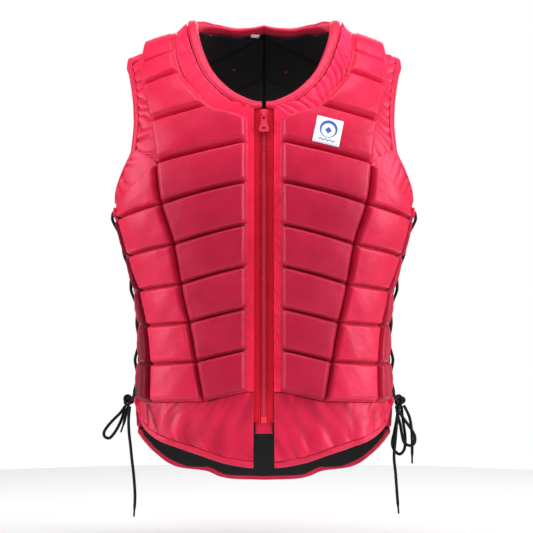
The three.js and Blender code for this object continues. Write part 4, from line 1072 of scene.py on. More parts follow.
# Front skirts, left and right, and one back skirt
def skirts():
    rows = 4 * round(skirtCloth["frontTall"] / skirtCloth["spacing"] / 4)
    topLine = fineLine(frontSkirtTop, skirtCloth["spacing"])
    spots, level = skirtSpots(topLine, frontHem, 1, gap, rows)
    cloths = [satin, meshCloth]
    for mirror, word in ((1, "left"), (-1, "right")):
        outer, inner, tone = skirtHeights(spots, level, 211 + mirror, mirror < 0)
        name, node = f"skirt_cloth_{word}", f"skirt_{word}"
        clothShell(name, spots, outer, inner, cloths, node, mirror, tone=tone)
    rows = 4 * round(skirtCloth["backTall"] / skirtCloth["spacing"] / 4)
    topLine = fineLine(backSkirtTop, skirtCloth["spacing"])
    spots, level = skirtSpots(topLine, backHem, -1, gap, rows)
    outer, inner, tone = skirtHeights(spots, level, 223)
    name, node = "back_skirt_cloth", "back_skirt"
    clothShell(name, spots, outer, inner, cloths, node, both=True, tone=tone)


skirts()
print("skirts ready")

# Black mesh lining of the back, quilted in chevrons either side of a centre groove
lining = {
    "outer": 0.3 * mm,
    "thin": 1.1 * mm,
    "puff": 2.6 * mm,
    "puffRun": 11 * mm,
    "chevron": 53 * mm,
    "chevronSlope": 0.5,
    "firstChevron": 20 * mm,
    "spacing": 3.0 * mm,
    "seamShade": 0.1,
    "seamWide": 2.6 * mm,
    "flare": 3 * mm,
    "rippleSize": 40 * mm,
    "ripple": 0.5 * mm,
    "skirtSink": 0.4 * mm,
}


# Distance from the quilting's stitched lines: the centre line and chevrons either side of it
def fromQuilting(base):
    x, z = base[..., 0], base[..., 2]
    beat = (lining["firstChevron"] - z - lining["chevronSlope"] * np.abs(x)) / lining["chevron"]
    fromChevron = np.abs(beat - np.round(beat)) * lining["chevron"]
    return np.minimum(fromChevron, np.abs(x))


# The lining puffs up from its stitched lines as a quarter circle
def liningHeights(base):
    share = np.clip(fromQuilting(base) / lining["puffRun"], 0, 1)
    return -(lining["outer"] + lining["thin"] + lining["puff"] * np.sqrt(1 - (1 - share) ** 2))


# Fine grid of spots over a net
def liningSpots(net):
    down, across = netLengths(net)
    return refine(net, ticks(down, lining["spacing"]), ticks(across, lining["spacing"]))


# Quilted back, plain sides, and a rippled skirt
def backLinings():
    node, slotName, cloths = "back_lining", "mesh_lining", [meshCloth]
    spots = liningSpots(backNet(0))
    base = bodyAt(spots)[0]
    heights = liningHeights(base)
    flat = np.full(heights.shape, -lining["outer"])
    # The lining is painted darker near its stitched lines: painted shade in the quilting's grooves
    shade = np.clip(fromQuilting(base) / lining["seamWide"], 0, 1)
    tone = lining["seamShade"] + (1 - lining["seamShade"]) * shade
    clothShell("back_mesh_lining", spots, heights, flat, cloths, node, both=True,
               tone=tone)
    spots = liningSpots(sideNet(-1, 0))
    thin = np.full(spots.shape[:2], -lining["outer"] - lining["thin"])
    flat = np.full(thin.shape, -lining["outer"])
    for mirror, word in ((1, "left"), (-1, "right")):
        name = f"side_mesh_lining_{word}"
        clothShell(name, spots, thin, flat, cloths, node, mirror)
    topLine = fineLine(backSkirtTop, lining["spacing"])
    spots, level = skirtSpots(topLine, backHem, -1, 0, 40)
    spots[..., 1] -= level * lining["flare"]
    wander = softNoise(spots[..., 0] * 2 * mm, spots[..., 1], lining["rippleSize"], 307)
    ripple = wander * lining["ripple"] * level + foldAt(spots[..., 0], level)
    thin = -lining["outer"] - lining["thin"] + ripple - lining["skirtSink"]
    outer = thin + lining["thin"]
    clothShell("skirt_mesh_lining", spots, thin, outer, cloths, node, both=True)


backLinings()
print("linings ready")

# Bindings: satin folded over an edge and stitched down
binding = {
    "proud": 1.2 * mm,
    "low": -1.0 * mm,
    "lowBack": -1.8 * mm,
    "sectionPower": 3.0,
    "around": 28,
    "spacing": 1.6 * mm,
    "stitchAt": 0.8,
    "stitchDepth": 0.7 * mm,
    "stitchWide": 0.07,
    "creaseWide": 0.09,
    "creaseWander": 0.05,
    "creaseSize": 50 * mm,
    "pucker": 0.35 * mm,
    "puckerAlong": 2.1 * mm,
    "puckerSize": 20 * mm,
    "unevenSize": 60 * mm,
    "clear": 0.9 * mm,
}
marginHeight = 5.5 * mm
bindingTop = marginHeight + binding["proud"]
stitches = {"long": 2.6 * mm, "pitch": 3.7 * mm, "radius": 0.32 * mm, "sides": 6}
threadMaterial, threadTree, threadShader = newMaterial("red_thread", (0.45, 0.012, 0.04), 0.5)
threadBump = wave(threadTree, scaledCoordinates(threadTree, "Object", (1, 1, 1)), 900, "DIAGONAL")
bump(threadTree, threadShader, threadBump, 0.3, 0.1 * mm)


# Distance in metres between two spots of the body
def spotDistance(a, b):
    return float(np.linalg.norm(bodyAt(np.asarray(a))[0] - bodyAt(np.asarray(b))[0]))


# The spot at a distance from one spot towards another
def toward(start, end, distance):
    return mix(start, end, distance / spotDistance(start, end))


# Points along a line at given lengths from its start
def alongLine(lengths, run, points):
    return np.stack([np.interp(lengths, run, points[:, c]) for c in range(3)], -1)


# Small stitches along a line of points: a six-sided bead stretched along the line, at each pitch
def stitchRow(name, points, normals):
    run = np.concatenate([[0], np.cumsum(np.linalg.norm(np.diff(points, axis=0), axis=-1))])
    starts = np.arange(stitches["pitch"], run[-1] - stitches["pitch"], stitches["pitch"])
    normal = alongLine(starts, run, normals)
    head, tail = alongLine(starts, run, points), alongLine(starts + stitches["long"], run, points)
    along = (tail - head) / np.linalg.norm(tail - head, axis=-1, keepdims=True)
    side = np.cross(normal, along)
    side /= np.linalg.norm(side, axis=-1, keepdims=True)
    sides = stitches["sides"]
    shares = np.array([0, 0.2, 0.8, 1])
    swell = np.array([0.35, 1, 1, 0.35]) * stitches["radius"]
    dip = np.array([-0.35, 0.2, 0.2, -0.35]) * stitches["radius"]
    angle = (np.arange(sides) / sides * 2 * np.pi)[:, None]
    ring = np.cos(angle) * side[:, None, None, :] + np.sin(angle) * normal[:, None, None, :]
    centre = head[:, None, :] + (tail - head)[:, None, :] * shares[None, :, None]
    centre = centre + normal[:, None, :] * dip[None, :, None]
    cloud = centre[:, :, None, :] + ring * swell[None, :, None, None]
    flat = cloud.reshape(-1, 3)
    faces = beadFaces(len(starts), len(shares), sides)
    piece = makePiece(name, flat, faces, flat[:, :2].copy(), [threadMaterial])
    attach(piece, "vest")


# A binding between an edge line and a line of the panel: its section is a superellipse between
# the two lines and between its low and top heights, dented where it is stitched
def bindingPiece(name, edges, nears, tops, low, node, mirror=1, both=False, seed=1, creases=(),
                 shift=None):
    lines = np.stack([np.asarray(edges), np.asarray(nears)], 1)
    lengths = np.linalg.norm(np.diff(bodyAt(lines)[0], axis=0), axis=-1).max(axis=1)
    at = ticks(lengths, binding["spacing"])
    fine = rowsThrough(lines, at)
    top = rowsThrough(np.asarray(tops, float), at)[:, None]
    angle = np.arange(binding["around"]) / binding["around"] * 2 * np.pi
    power = 2 / binding["sectionPower"]
    s = 0.5 + 0.5 * np.sign(np.cos(angle)) * np.abs(np.cos(angle)) ** power
    h = 0.5 + 0.5 * np.sign(np.sin(angle)) * np.abs(np.sin(angle)) ** power
    spots = fine[:, None, 0] + (fine[:, None, 1] - fine[:, None, 0]) * s[None, :, None]
    base, out = bodyAt(spots)
    if shift:
        base = base + out * shift(spots)[..., None]
    if both:
        base = np.concatenate([mirrorX(base[:0:-1]), base])
        out = np.concatenate([mirrorX(out[:0:-1]), out])
        top = np.concatenate([top[:0:-1], top])
    along = runningLength(base[:, :1], 0)
    upper = top * (0.7 + 0.3 * s[None, :])
    lower = low * (0.5 + 0.5 * s[None, :])
    face = np.clip(h * 2 - 1, 0, 1)[None, :]
    fromStitches = (s - binding["stitchAt"]) / binding["stitchWide"]
    dent = binding["stitchDepth"] * np.exp(-(fromStitches ** 2))[None, :]
    for share, depth in creases:
        wander = binding["creaseWander"] * softNoise(along, along * 0, binding["creaseSize"], seed + 3)
        dent = dent + depth * np.exp(-(((s[None, :] - share - wander) / binding["creaseWide"]) ** 2))
    beat = along / binding["puckerAlong"] + 2.5 * softNoise(along, along * 0, binding["puckerSize"], seed)
    uneven = 0.4 + 0.6 * np.abs(softNoise(along, along * 0, binding["unevenSize"], seed + 1))
    gathered = binding["pucker"] * np.sin(beat) * uneven * s[None, :]
    height = lower + (upper - lower) * h[None, :] + (gathered - dent) * face
    points = base + out * height[..., None]
    if mirror < 0:
        points, out = mirrorX(points), mirrorX(out)
    rows, around = points.shape[:2]
    index = np.arange(rows * around).reshape(rows, around)
    ring = np.concatenate([index, index[:, :1]], axis=1)
    faces = np.stack([ring[:-1, :-1], ring[:-1, 1:], ring[1:, 1:], ring[1:, :-1]], -1)
    faces = faces.reshape(-1, 4).tolist()
    faces += [index[0].tolist()[::-1], index[-1].tolist()]
    turn = np.cumsum(np.linalg.norm(np.roll(points, -1, axis=1) - points, axis=-1), axis=1)
    uv = np.stack([np.broadcast_to(along, turn.shape), turn], -1)
    standFor(makePiece(name, points, faces, uv, [bindingSatin]), node)
    column = int(np.argmin(np.abs(s - binding["stitchAt"]) + (h < 0.5)))
    stitchRow(f"{name}_stitching", points[:, column], out[:, column])


# Neck band of the front: from the shoulder down to the zip
net = chestNet()
lastNeckAngle = 81
neckEdges = []
neckNears = []
neckTops = []
for k, row in enumerate(chestRows[: zipCornerRow + 1]):
    if k:
        edge = neckSpot(min(row[4], lastNeckAngle), 0)
    else:
        edge = atX(vest["neckHalfWidth"], -vest["strapOverhang"])
    neckEdges.append(edge)
    neckNears.append(toward(net[k][0], edge, binding["clear"]))
    neckTops.append(bindingTop + row[5] * padding["collarRise"])
neckEnd = 2.7 * mm
neckEdges.append(atX(neckEnd, vest["neckDrop"]))
neckNears.append(atX(neckEnd, vest["neckDrop"] + vest["neckBinding"] / 2 - binding["clear"]))
neckTops.append(bindingTop)
for mirror, word in ((1, "left"), (-1, "right")):
    bindingPiece(f"neck_band_{word}", neckEdges, neckNears, neckTops, binding["low"],
                 f"neck_binding_{word}", mirror, seed=401 + mirror, creases=((0.42, 0.9 * mm),))

# Neck band of the back: three spots from the centre to the shoulder
backNeckTop = -vest["backNeckDrop"]
overhang = -vest["strapOverhang"] - gap
backNeckEdges = [
    np.array([0, backNeckTop]),
    atX(vest["neckHalfWidth"] * backNeck["edge"], backNeckTop + backNeck["edgeRise"]),
    atX(vest["neckHalfWidth"], overhang),
]
backNeckNears = [
    np.array([0, backNeckTop - vest["edgeBinding"] + gap]),
    atX(vest["neckHalfWidth"] * backNeck["near"], backNeckTop - backNeck["nearDrop"] + gap),
    atX(vest["neckHalfWidth"] + vest["neckBinding"] - 0.5 * mm, overhang),
]
backNeckTops = [bindingTop + padding["collarRise"] * share for share in (0, 0.6, 1)]
bindingPiece("back_neck_band", backNeckEdges, backNeckNears, backNeckTops, binding["lowBack"],
             "back_neck_binding", both=True, seed=411, creases=((0.4, 0.5 * mm),))


# Lines of an armhole's binding: along the chest or the back, then under the arm
def armholeLines(side):
    if side > 0:
        panel = [row[-1] for row in chestNet()[:seamRow]]
        places = list(range(seamRow))
    else:
        panel = [row[-1] for row in backNet(0)[: len(backArmhole)]]
        places = backArmhole
    spots = panel + list(sideNet(side, 0)[0][1:])
    places = list(places) + armholeSide[1:]
    edges = [armholeSpot(t, 0, side) for t in places]
    edges[0] = atX(spotX(edges[0]), panel[0][1])
    nears = [toward(spot, edge, binding["clear"]) for spot, edge in zip(spots, edges)]
    return edges, nears


# Lines of a hem's binding: the hem, and a binding's width above it
def hemLines(top, hem, side):
    drop = hemAt(hem, top[:, 0])
    edges = np.stack([top[:, 0], side * drop], -1)
    nears = np.stack([top[:, 0], side * (drop - vest["edgeBinding"])], -1)
    return edges, nears


for side, prefix, low in ((1, "armhole", "low"), (-1, "back_armhole", "lowBack")):
    edges, nears = armholeLines(side)
    for mirror, word in ((1, "left"), (-1, "right")):
        bindingPiece(f"{prefix}_band_{word}", edges, nears, [bindingTop] * len(edges), binding[low],
                     f"{prefix}_binding_{word}", mirror, seed=421 + side + 2 * mirror)
print("neck and armhole bindings ready")

# Hem bindings follow the skirts' folds
hemTop = skirtCloth["height"] + skirtCloth["thickness"] + binding["proud"]


# How far the folds carry the hem's binding out
def hemShift(spots):
    return foldAt(spots[..., 0], 1.0)


edges, nears = hemLines(frontSkirtTop, frontHem, 1)
for mirror, word in ((1, "left"), (-1, "right")):
    bindingPiece(f"hem_band_{word}", edges, nears, [hemTop] * len(edges), binding["lowBack"],
                 f"hem_binding_{word}", mirror, seed=441 + mirror, shift=hemShift)
edges, nears = hemLines(backSkirtTop, backHem, -1)
bindingPiece("back_hem_band", edges, nears, [hemTop] * len(edges), binding["lowBack"],
             "back_hem_binding", both=True, seed=451, shift=hemShift)

# Side edge bindings run out to a loop at each lace anchor
lacing = {
    "top": 0.232,
    "bottom": 0.462,
    "pitch": 48 * mm,
    "spread": 16 * mm,
    "diameter": 4 * mm,
    "loopTurn": 2,
    "loopHalf": 9 * mm,
    "bandTop": 10.2 * mm,
    "scallop": 2.5 * mm,
    "between": 1.6,
    "startDrop": 3 * mm,
    "sink": 6.5 * mm,
    "clear": 1.2 * mm,
    "lean": 0.12,
    "halfPass": 3 * mm,
    "topTurn": 11 * mm,
    "topSpread": 0.4,
    "overAtLoop": 0.7,
    "knotX": 0.1765,
    "knotDrop": 0.4705,
}
anchorCount = round((lacing["bottom"] - lacing["top"]) / lacing["pitch"]) + 1
anchorDrops = np.linspace(lacing["top"], lacing["bottom"], anchorCount)


# Lines and heights of a side edge's binding: it runs out to a loop at each anchor, with a scallop
# between two loops
def sideEdgeLines(side):
    hem = frontHem if side > 0 else backHem
    bottom = hemDrop(hem, vest["sideEdgeTurn"] / 90)
    drops = [abs(sideNet(side, 0)[0][4][1]) + lacing["startDrop"]]
    loops = [0]
    tops = [lacing["bandTop"]]
    for drop in anchorDrops:
        drops += [drop - lacing["loopHalf"], drop, drop + lacing["loopHalf"]]
        loops += [0, 1, 0]
        beside = lacing["bandTop"] + lacing["scallop"]
        tops += [beside, lacing["bandTop"], beside]
        if drop < anchorDrops[-1]:
            drops.append(drop + lacing["pitch"] / 2)
            loops.append(0)
            tops.append(lacing["bandTop"] + lacing["between"] * lacing["scallop"])
    drops.append(bottom - mm)
    loops.append(0)
    tops.append(bindingTop)
    turns = [vest["sideEdgeTurn"] + lacing["loopTurn"] * loop for loop in loops]
    edges = [np.array([turn, side * drop]) for turn, drop in zip(turns, drops)]
    nears = [np.array([vest["sideEdgeTurn"] - sideBand["near"], side * drop]) for drop in drops]
    return edges, nears, tops


for side, prefix, low in ((1, "side_edge", "low"), (-1, "back_side_edge", "lowBack")):
    edges, nears, tops = sideEdgeLines(side)
    for mirror, word in ((1, "left"), (-1, "right")):
        bindingPiece(f"{prefix}_band_{word}", edges, nears, tops, binding[low],
                     f"{prefix}_binding_{word}", mirror, seed=461 + side + 2 * mirror)
print("hem and side bindings ready")

# Zip: moulded teeth down the centre, between woven tapes
zipSizes = {
    "top": 0.110,
    "bottom": 0.493,
    "teethTop": 0.1205,
    "teethBottom": 0.4857,
    "pitch": 2.5 * mm,
    "reach": 3.5 * mm,
    "overlap": 1.0 * mm,
    "thick": 2.7 * mm,
    "tall": 1.75 * mm,
    "height": 1.6 * mm,
}


# Moulded plastic with faint clouds and a fine grain
def makePlastic(name, color, roughness):
    material, tree, shader = newMaterial(name, color, roughness)
    place = scaledCoordinates(tree, "Object", (1, 1, 1))
    darker = tuple(c * 0.86 for c in color)
    tone = ramp(tree, noise(tree, place, 60, 3), [(0.3, darker), (0.7, color)])
    tree.links.new(tone, shader.inputs["Base Color"])
    bump(tree, shader, noise(tree, place, 1400, 2), 0.12, 0.06 * mm)
    return material


zipPlastic = makePlastic("zip_teeth_plastic", (0.8, 0.028, 0.07), 0.36)
pullPlastic = makePlastic("pull_plastic", (0.68, 0.03, 0.07), 0.36)


# Zip tape: fine ribs along the tape, crossed by a weave
def makeTape():
    color, darker = (0.66, 0.006, 0.022), (0.47, 0.003, 0.014)
    material, tree, shader = newMaterial("zip_tape_weave", color, 0.7, sheen=0.0, specular=0.15)
    place = scaledCoordinates(tree, "Object", (1, 1, 1))
    ribs = wave(tree, place, 145, "X")
    weft = wave(tree, place, 420, "Z")
    tone = weighted(tree, ribs, 0.6, noise(tree, place, 55, 3), 0.4)
    tree.links.new(ramp(tree, tone, [(0.2, darker), (0.75, color)]), shader.inputs["Base Color"])
    bump(tree, shader, weighted(tree, ribs, 0.7, weft, 0.3), 0.5, 0.25 * mm)
    return material


zipTape = makeTape()


# Teeth: an eight-cornered head and root seen from the front, chamfered to a smaller face, from
# alternate sides by half a pitch
def zipTeeth():
    step = zipSizes["pitch"] / 2
    drops = np.arange(zipSizes["teethTop"] + step, zipSizes["teethBottom"], step)
    point, out = bodyAt(np.stack([drops * 0, drops], -1))
    down = np.gradient(point, axis=0)
    down /= np.linalg.norm(down, axis=-1, keepdims=True)
    half, reach, over = zipSizes["tall"] / 2, zipSizes["reach"], zipSizes["overlap"]
    # Across, and down as a share of half the tooth
    outline = np.array([
        (-over, 0.4), (-over, -0.4), (-over * 0.4, -1), (over * 0.8, -0.65), (reach, -0.9),
        (reach, 0.9), (over * 0.8, 0.65), (-over * 0.4, 1),
    ])
    outline[:, 1] *= half
    centre = outline.mean(axis=0)
    # Height and size of the rings, as shares
    rings = [(0.0, 0.94), (0.25, 1.0), (0.75, 1.0), (1.0, 0.78)]
    side = np.where(np.arange(len(drops)) % 2, 1, -1)[:, None, None]
    cloud = []
    for level, scale in rings:
        flat = (outline - centre) * scale + centre
        across = side[..., 0] * flat[None, :, 0]
        spot = point[:, None, :] + down[:, None, :] * flat[None, :, 1:2]
        spot = spot + np.array([1, 0, 0]) * across[..., None]
        cloud.append(spot + out[:, None, :] * (zipSizes["height"] + level * zipSizes["thick"]))
    cloud = np.stack(cloud, 1)
    faces = beadFaces(len(drops), len(rings), len(outline))
    flat = cloud.reshape(-1, 3)
    piece = makePiece("zip_teeth", flat, faces, flat[:, ::2].copy(), [zipPlastic], smooth=False)
    standFor(piece, "zip_chain")


zipTeeth()


# Rim of a strip beside the zip, and the ribbed cord along a tape's inner edge
stripShape = {"rim": 0.6 * mm, "ribAt": 0.9 * mm, "ribWide": 0.7 * mm, "rowEvery": 8 * mm, "across": 25}
tapeTop = 0.1045


# A strip down the zip between two x, two heights and two drops, its edges turned down
def zipStripPiece(name, xFrom, xTo, top, low, startDrop, endDrop, material, node, mirror=1,
                  piping=0.0):
    wide = xTo - xFrom
    rows = 4 * round((endDrop - startDrop) / stripShape["rowEvery"]) + 1
    drops = np.linspace(startDrop, endDrop, rows)
    across = np.linspace(0, 1, stripShape["across"])
    spots = np.array([[atX(xFrom + wide * share, drop) for share in across] for drop in drops])
    base, out = bodyAt(spots)
    rim = np.minimum(across, 1 - across) * abs(wide)
    edge = np.sqrt(1 - (1 - np.clip(rim / stripShape["rim"], 0, 1)) ** 2)
    fromRib = (across * abs(wide) - stripShape["ribAt"]) / stripShape["ribWide"]
    cordRib = piping * np.exp(-(fromRib ** 2))
    outer = base + out * (low + (top - low) * (0.35 + 0.65 * edge) + cordRib)[None, :, None]
    inner = base + out * low
    if mirror < 0:
        outer, inner, base = mirrorX(outer), mirrorX(inner), mirrorX(base)
    down, side = runningLength(base, 0), runningLength(base, 1)
    standFor(shellPiece(name, outer, inner, clothUv(down, side), [material], 0), node)


for mirror, word in ((1, "left"), (-1, "right")):
    zipStripPiece(f"zip_tape_cloth_{word}", 3.7 * mm, 12.9 * mm, 2.7 * mm, 1.5 * mm, tapeTop,
                  zipSizes["bottom"], zipTape, f"zip_tape_{word}", mirror, piping=0.5 * mm)


# A CAD node keeps its shape and takes a finish of its own
def dress(node, material):
    item = bpy.data.objects[node]
    item.data.materials.clear()
    item.data.materials.append(material)


for node, material in (("zip_stop", zipPlastic), ("zip_slider", zipPlastic), ("zip_pull", pullPlastic)):
    dress(node, material)
guardBottom = zipSizes["bottom"] + 14 * mm
zipStripPiece("zip_guard_cloth", -11 * mm, 11 * mm, 1.2 * mm, 0.0, zipSizes["top"], guardBottom,
              bindingSatin, "zip_guard")
print("zip ready")

# Woven patch: a blue ring, a lozenge, a rippled bar and a dotted rim on white, of no meaning
patch = {
    "x": 79 * mm,
    "drop": 0.127,
    "size": 35 * mm,
    "thick": 1.1 * mm,
    "height": 19.2 * mm,
    "turn": math.radians(-13.6),
}
# Sizes of its figures from the patch's middle. The ring is left between two circles that aren't
# concentric, and the lozenge lies within.
motif = {
    "ringUp": 2.5 * mm,
    "ringOuter": 11.6 * mm,
    "ringInner": 9.0 * mm,
    "innerDown": 1.7 * mm,
    "lozenge": 4.6 * mm,
    "barDown": 12.3 * mm,
    "barHalf": 0.8 * mm,
    "barReach": 11 * mm,
    "ripple": 0.9 * mm,
    "rippleScale": 1000,
    "rimAt": 15.4 * mm,
    "rimHalf": 0.5 * mm,
    "dotScale": 120,
    "weaveScale": 260,
}


# The figures are masks of 0 or 1 worked out from the UV, joined by their greatest value
def makePatchWeave():
    white, blue = (0.76, 0.77, 0.84), (0.025, 0.1, 0.4)
    material, tree, shader = newMaterial("patch_weave", white, 0.65, sheen=0.2)
    vector = scaledCoordinates(tree, "UV", (1, 1, 1))
    split = tree.nodes.new("ShaderNodeSeparateXYZ")
    tree.links.new(vector, split.inputs[0])
    across, up = split.outputs["X"], split.outputs["Y"]

    def absolute(value):
        return mathNode(tree, "ABSOLUTE", value)

    def less(value, limit):
        return mathNode(tree, "LESS_THAN", value, limit)

    def distance(first, second):
        squares = [mathNode(tree, "MULTIPLY", value, value) for value in (first, second)]
        return mathNode(tree, "POWER", mathNode(tree, "ADD", *squares), 0.5)

    ringUp = mathNode(tree, "SUBTRACT", up, motif["ringUp"])
    innerUp = mathNode(tree, "ADD", ringUp, motif["innerDown"])
    outsideInner = mathNode(tree, "GREATER_THAN", distance(across, innerUp), motif["ringInner"])
    ring = mathNode(tree, "MULTIPLY", less(distance(across, ringUp), motif["ringOuter"]), outsideInner)
    lozenge = less(mathNode(tree, "ADD", absolute(across), absolute(innerUp)), motif["lozenge"])
    # A plain bar with a slow ripple, under the ring
    ripple = mathNode(tree, "SINE", mathNode(tree, "MULTIPLY", across, motif["rippleScale"]))
    ripple = mathNode(tree, "MULTIPLY", ripple, motif["ripple"])
    fromBar = absolute(mathNode(tree, "ADD", mathNode(tree, "ADD", up, motif["barDown"]), ripple))
    bar = less(fromBar, motif["barHalf"])
    bar = mathNode(tree, "MULTIPLY", bar, less(absolute(across), motif["barReach"]))
    shape = mathNode(tree, "MAXIMUM", mathNode(tree, "MAXIMUM", ring, lozenge), bar)
    # A dotted line of blue stitches runs round the rim
    edge = mathNode(tree, "MAXIMUM", absolute(across), absolute(up))
    rim = less(absolute(mathNode(tree, "SUBTRACT", edge, motif["rimAt"])), motif["rimHalf"])
    dots = [wave(tree, vector, motif["dotScale"], axis) for axis in ("X", "Y")]
    dots = mathNode(tree, "GREATER_THAN", mathNode(tree, "MULTIPLY", *dots), 0.2)
    shape = mathNode(tree, "MAXIMUM", shape, mathNode(tree, "MULTIPLY", rim, dots))
    weave = wave(tree, vector, motif["weaveScale"], "DIAGONAL")
    tone = weighted(tree, shape, 0.9, weave, 0.08)
    tree.links.new(ramp(tree, tone, [(0.1, white), (0.75, blue)]), shader.inputs["Base Color"])
    bump(tree, shader, weave, 0.4, 0.15 * mm)
    return material


# A cloth plate laid on the body: a grid turned in its own plane, rounded at its rim, with its
# corners a little lower where the block falls away
def clothPlate(name, x, drop, wide, tall, thick, height, turn, material, node, sag):
    spot = atX(x, drop)
    point, out = bodyAt(spot)
    across = np.cross([0, 0, 1], out)
    across /= np.linalg.norm(across)
    upright = np.cross(out, across)
    steps = 24
    s, t = np.meshgrid(np.linspace(-1, 1, steps + 1), np.linspace(1, -1, steps + 1))
    a, b = s * wide / 2, t * tall / 2
    # The rim's outer tenth is rounded, and a seam runs round inside it
    rim = np.maximum(np.abs(s), np.abs(t))
    rounding = np.sqrt(np.clip(1 - np.clip((rim - 0.9) / 0.1, 0, 1) ** 2, 0.02, 1))
    lowered = sag * (s * s + t * t) / 2
    crown = height + thick * rounding - lowered
    stitched = 0.25 * mm * np.exp(-(((rim - 0.86) / 0.03) ** 2))
    turnedAcross = a * math.cos(turn) - b * math.sin(turn)
    turnedUp = a * math.sin(turn) + b * math.cos(turn)
    flat = point + turnedAcross[..., None] * across + turnedUp[..., None] * upright
    outer = flat + out * (crown - stitched)[..., None]
    inner = flat + out * (height - lowered - 0.1 * mm)[..., None]
    piece = shellPiece(name, outer, inner, np.stack([a, b], -1), [material], 0)
    standFor(piece, node)


clothPlate("chest_patch_cloth", patch["x"], patch["drop"], patch["size"], patch["size"], patch["thick"],
           patch["height"], patch["turn"], makePatchWeave(), "chest_patch", 0.6 * mm)


# Plain white label with upright ribs
def makeLabelWeave():
    material, tree, shader = newMaterial("label_weave", (0.85, 0.85, 0.86), 0.6, sheen=0.2)
    place = scaledCoordinates(tree, "Object", (1, 1, 1))
    weave = wave(tree, place, 300, "X")
    tone = ramp(tree, weave, [(0.2, (0.88, 0.88, 0.9)), (0.8, (0.97, 0.97, 0.98))])
    tree.links.new(tone, shader.inputs["Base Color"])
    bump(tree, shader, weave, 0.4, 0.12 * mm)
    return material


clothPlate("neck_label_cloth", -13 * mm, -0.02, 12 * mm, 5 * mm, 0.6 * mm, -3.6 * mm, 0, makeLabelWeave(),
           "neck_label", 0)
print("patch and label ready")


# Elastic lace: two sets of threads wound round the cord in opposite directions
def makeLace():
    color = (0.004, 0.004, 0.005)
    material, tree, shader = newMaterial("elastic_lace_braid", color, 0.75, sheen=0.05, specular=0.2)
    vector = scaledCoordinates(tree, "UV", (1, 1, 1))
    split = tree.nodes.new("ShaderNodeSeparateXYZ")
    tree.links.new(vector, split.inputs[0])
    along = mathNode(tree, "MULTIPLY", split.outputs["Y"], 2 * math.pi / (4.6 * mm))
    around = mathNode(tree, "MULTIPLY", split.outputs["X"], 2 * math.pi * 5)
    lean = mathNode(tree, "MULTIPLY", along, 3)
    first = mathNode(tree, "SINE", mathNode(tree, "ADD", around, lean))
    second = mathNode(tree, "SINE", mathNode(tree, "SUBTRACT", around, lean))
    crossings = mathNode(tree, "MULTIPLY", mathNode(tree, "MULTIPLY", first, second), 0.5)
    braid = mathNode(tree, "ADD", 0.5, crossings)
    tone = ramp(tree, braid, [(0.2, (0.002, 0.002, 0.002)), (0.8, (0.009, 0.009, 0.011))])
    tree.links.new(tone, shader.inputs["Base Color"])
    bump(tree, shader, braid, 0.6, 0.35 * mm)
    return material


laceBraid = makeLace()


# Smooth path through points, in even steps: a cubic over the root of the chord lengths
def smoothPath(points, step):
    points = np.asarray(points, float)
    chord = np.linalg.norm(np.diff(points, axis=0), axis=-1)
    places = np.concatenate([[0], np.cumsum(np.sqrt(chord))])
    at = np.linspace(0, places[-1], 40 * len(points))
    fine = np.stack([cubicThrough(places, points[:, c], at) for c in range(3)], -1)
    run = np.concatenate([[0], np.cumsum(np.linalg.norm(np.diff(fine, axis=0), axis=-1))])
    even = np.linspace(0, run[-1], max(8, round(run[-1] / step)))
    return np.stack([np.interp(even, run, fine[:, c]) for c in range(3)], -1), run[-1]


# A cord of round section carried along a path, with rounded ends; its radius may change along it
def tubePiece(name, path, radius, material, reference=(0, 1, 0), sides=12, closed=False):
    if closed:
        tangent = np.roll(path, -1, axis=0) - np.roll(path, 1, axis=0)
    else:
        tangent = np.gradient(path, axis=0)
    tangent /= np.linalg.norm(tangent, axis=-1, keepdims=True)
    reference = np.asarray(reference, float)
    side = np.cross(tangent, reference)
    side /= np.maximum(np.linalg.norm(side, axis=-1, keepdims=True), 1e-9)
    upright = np.cross(side, tangent)
    run = np.concatenate([[0], np.cumsum(np.linalg.norm(np.diff(path, axis=0), axis=-1))])
    radius = np.broadcast_to(radius, run.shape).copy()
    if not closed:
        fromEnd = np.minimum(run, run[-1] - run)
        rounding = np.clip(fromEnd / radius, 0, 1)
        radius = radius * np.maximum(np.sqrt(1 - (1 - rounding) ** 2), 0.15)
    angle = np.arange(sides) / sides * 2 * np.pi
    ring = np.cos(angle)[None, :, None] * side[:, None] + np.sin(angle)[None, :, None] * upright[:, None]
    points = path[:, None] + ring * radius[:, None, None]
    rows = len(path)
    seam = np.concatenate([points, points[:, :1]], axis=1)
    uv = np.stack(np.meshgrid(np.arange(sides + 1) / sides, run), -1)
    if closed:
        seam = np.concatenate([seam, seam[:1]])
        uv = np.concatenate([uv, uv[-1:] + np.array([0, 2 * mm])])
        rows += 1
    faces = gridFaces(rows, sides + 1).tolist()
    if not closed:
        index = np.arange(rows * (sides + 1)).reshape(rows, sides + 1)
        faces += [index[0, :-1].tolist(), index[-1, :-1].tolist()[::-1]]
    return makePiece(name, seam, faces, uv, [material])


